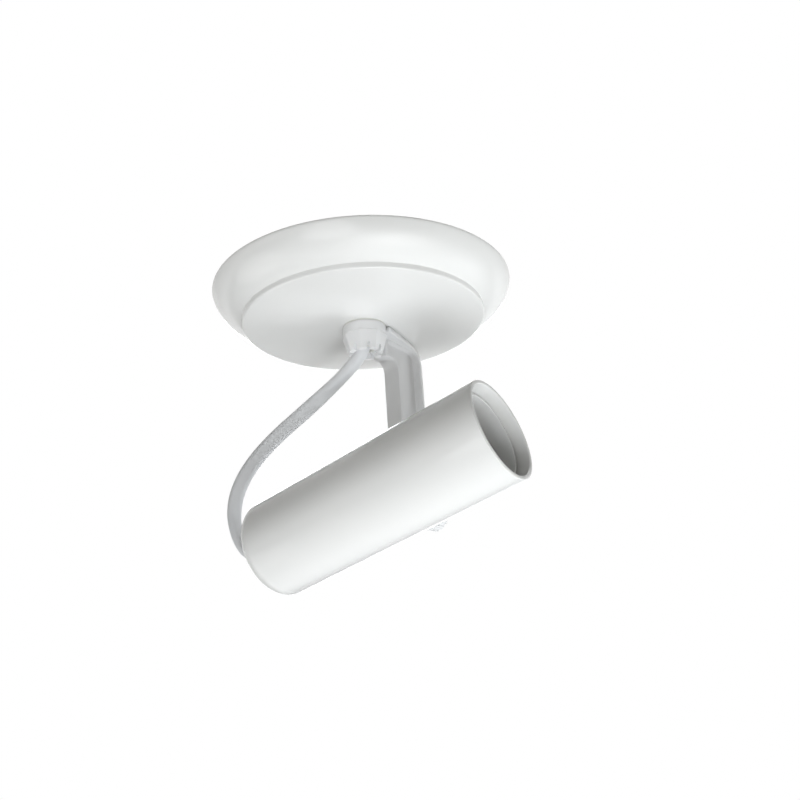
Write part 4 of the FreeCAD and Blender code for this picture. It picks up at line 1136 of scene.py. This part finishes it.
@dataclass
class TiltKnob:
    """The grooved knob that clamps the tilt."""

    radius: float = 6.0 * MM
    start: float = 40.2 * MM
    end: float = 48.6 * MM
    collar: float = 1.0 * MM
    crown: float = 1.0 * MM
    grooves: int = 12
    groove_radius: float = 0.6 * MM
    insert_radius: float = 3.8 * MM
    insert_length: float = 6.0 * MM

    def build(self) -> None:
        """Model the knob and dress it."""
        crown_radius = (self.radius**2 + self.crown**2) / 2 / self.crown
        top = bulge((self.radius, self.end - self.crown), (AXIS, self.end), crown_radius, 1, 14)
        corners = [(AXIS, self.start, 0), (self.radius, self.start, 0.4 * MM),
                   (self.radius, self.end - self.crown, 0.9 * MM), *top[1:]]
        knob = turned("grooved_tilt_knob", rounded(corners, steps=4), segments=96)
        for turn in range(self.grooves):
            angle = 2 * math.pi * turn / self.grooves
            groove = rod("groove", self.groove_radius, self.start + self.collar, self.end + 1 * MM, 20)
            groove.location = (self.radius * math.cos(angle), self.radius * math.sin(angle), 0)
            combine(knob, groove, "DIFFERENCE")
        room = rod("room", self.insert_radius, self.start - 1 * MM, self.start + self.insert_length, 48)
        combine(knob, room, "DIFFERENCE")
        round_edges(knob, 0.12 * MM, segments=2, angle=38)
        dress(knob, Body.KNOB, MOULDED, Slot.PLASTIC, "tilt_knob",
              place=HEAD_PLACE @ Matrix.Rotation(-math.pi / 2, 4, "X"), smooth_angle=35)


# ------------------------------------------------------------------ carried-over pieces


CARRIED: dict[str, Finish] = {
    "swivel_nut": ZINC,
    "wave_washer": ZINC,
    "block_screw": ZINC,
    "terminal_screws": ZINC,
    "holder_bracket": ZINC,
    "holder_screws": ZINC,
    "pivot_bolt": ZINC,
    "pivot_washer": ZINC,
    "friction_washer": NYLON,
    "pivot_saddle": NYLON,
    "terminal_block": NYLON,
    "terminal_inserts": BRASS,
    "knob_insert": BRASS,
    "holder_contacts": BRASS,
    "lamp_pins": BRASS,
    "lampholder": STEATITE,
    "lamp_base": STEATITE,
    "supply_leads": SUPPLY_LEADS,
    "head_leads": HEAD_LEADS,
}


def dress_carried_over() -> None:
    """Give every CAD node that still shows its own procedural material."""
    for name, finish in CARRIED.items():
        node = bpy.data.objects[name]
        node.data.materials.clear()
        node.data.materials.append(finish.material())
        LOG.info("%s: carried over, %s", name, finish.title)


# ------------------------------------------------------------------ floor and light


@dataclass
class Studio:
    """A pale floor far below, soft lamps low down, and a white surround."""

    floor_height: float = -0.75
    floor_size: float = 6.0
    floor_colour: Point3 = (0.82, 0.82, 0.82)
    floor_roughness: float = 0.9
    floor_white: float = 0.9
    below: Point3 = (0.98, 0.97, 0.84)
    above: Point3 = (0.05, 0.047, 0.038)
    blend_low: float = -0.6
    blend_high: float = 0.1
    middle: Point3 = (0, 0, -0.06)
    cool: Point3 = (0.95, 0.98, 1.0)

    def floor(self) -> None:
        """The plain pale floor."""
        clear_selection()
        bpy.ops.mesh.primitive_plane_add(size=self.floor_size, location=(0, 0, self.floor_height))
        floor = name_piece("floor")
        bpy.ops.object.transform_apply(location=True)
        floor.data.materials.append(self.pale())

    def pale(self) -> bpy.types.Material:
        """The floor's material: white to the camera, pale to the light.

        Returns:
            The node material.
        """
        made = bpy.data.materials.new("pale_floor")
        made.use_nodes = True
        tree = made.node_tree
        shader = plug(tree, tree.nodes["Principled BSDF"], {
            "Base Color": (*self.floor_colour, 1), "Roughness": self.floor_roughness})
        glow = add_node(tree, "Emission", {"Color": (1, 1, 1, 1)})
        seen = add_node(tree, "LightPath").outputs["Is Camera Ray"]
        share = add_node(tree, "Math", {0: seen, 1: self.floor_white}, operation="MULTIPLY")
        mix = add_node(tree, "MixShader", {"Fac": share.outputs["Value"], 1: shader.outputs["BSDF"],
                                           2: glow.outputs["Emission"]})
        plug(tree, tree.nodes["Material Output"], {"Surface": mix.outputs["Shader"]})
        return made

    def surround(self) -> None:
        """A world that is white where it is seen and soft where it lights."""
        world = bpy.data.worlds.new("surround")
        world.use_nodes = True
        tree = world.node_tree
        seen = plug(tree, tree.nodes["Background"], {"Color": (1, 1, 1, 1), "Strength": 1.0})
        way = add_node(tree, "TexCoord").outputs["Generated"]
        parts = add_node(tree, "SeparateXYZ", {"Vector": way})
        height = add_node(tree, "MapRange", {"From Min": self.blend_low, "From Max": self.blend_high,
                                             "Value": parts.outputs["Z"]})
        sky = add_node(tree, "Mix", {"A": (*self.below, 1), "B": (*self.above, 1),
                                     "Factor": height.outputs["Result"]}, data_type="RGBA")
        soft = add_node(tree, "Background", {"Strength": 1.0, "Color": sky.outputs["Result"]})
        path = add_node(tree, "LightPath")
        shown = path.outputs["Is Camera Ray"]
        for ray in ("Is Transmission Ray", "Is Glossy Ray"):
            larger = add_node(tree, "Math", {0: shown, 1: path.outputs[ray]}, operation="MAXIMUM")
            shown = larger.outputs["Value"]
        mix = add_node(tree, "MixShader", {"Fac": shown, 1: soft.outputs["Background"],
                                           2: seen.outputs["Background"]})
        plug(tree, tree.nodes["World Output"], {"Surface": mix.outputs["Shader"]})
        bpy.context.scene.world = world

    def lamp(self, name: str, place: Point3, size: float, power: float,
             colour: Point3 = (1, 1, 1), glossy: bool = True) -> None:
        """Add a round soft lamp that shines at the middle of the object.

        Args:
            name: Its name.
            place: Where it stands.
            size: Its width.
            power: Its power in watts.
            colour: Its colour.
            glossy: Whether it shows in reflections.
        """
        data = bpy.data.lights.new(name, "AREA")
        data.shape = "DISK"
        data.size = size
        data.energy = power
        data.color = colour
        lamp = bpy.data.objects.new(name, data)
        bpy.context.scene.collection.objects.link(lamp)
        lamp.location = place
        lamp.rotation_euler = (Vector(self.middle) - Vector(place)).to_track_quat("-Z", "Y").to_euler()
        lamp.visible_camera = False
        lamp.visible_glossy = glossy

    def build(self) -> None:
        """Set up floor, surround and lamps."""
        self.floor()
        self.surround()
        self.lamp("key_from_below", (0.30, -0.30, -0.62), 0.4, 3.0, self.cool, glossy=False)
        self.lamp("key_from_behind", (0.35, 0.50, -0.45), 0.4, 2.65, self.cool, glossy=False)
        self.lamp("fill_from_the_front", (0.15, -0.65, -0.35), 0.5, 1.15)
        self.lamp("fill_from_the_right", (0.45, -0.12, -0.55), 0.4, 0.6)
        self.lamp("fill_from_the_left", (-0.50, -0.30, -0.40), 0.5, 0.5)
        self.lamp("fill_from_the_back", (-0.45, 0.65, 0.15), 0.6, 3.2)
        self.lamp("fill_from_above", (-0.10, 0.55, 0.80), 0.6, 2.0)
        bpy.context.scene.view_settings.view_transform = "Standard"


def main() -> None:
    """Build the spotlight and its studio."""
    logging.basicConfig(level=logging.INFO, format="%(message)s")
    Viewpoint().build()
    FreeCord().build()
    for part in (Canopy(), Hanger(), SwivelArm(), CordGrip(), LampHead(), TiltKnob()):
        part.build()
    dress_carried_over()
    Studio().build()


if __name__ == "__main__":
    main()
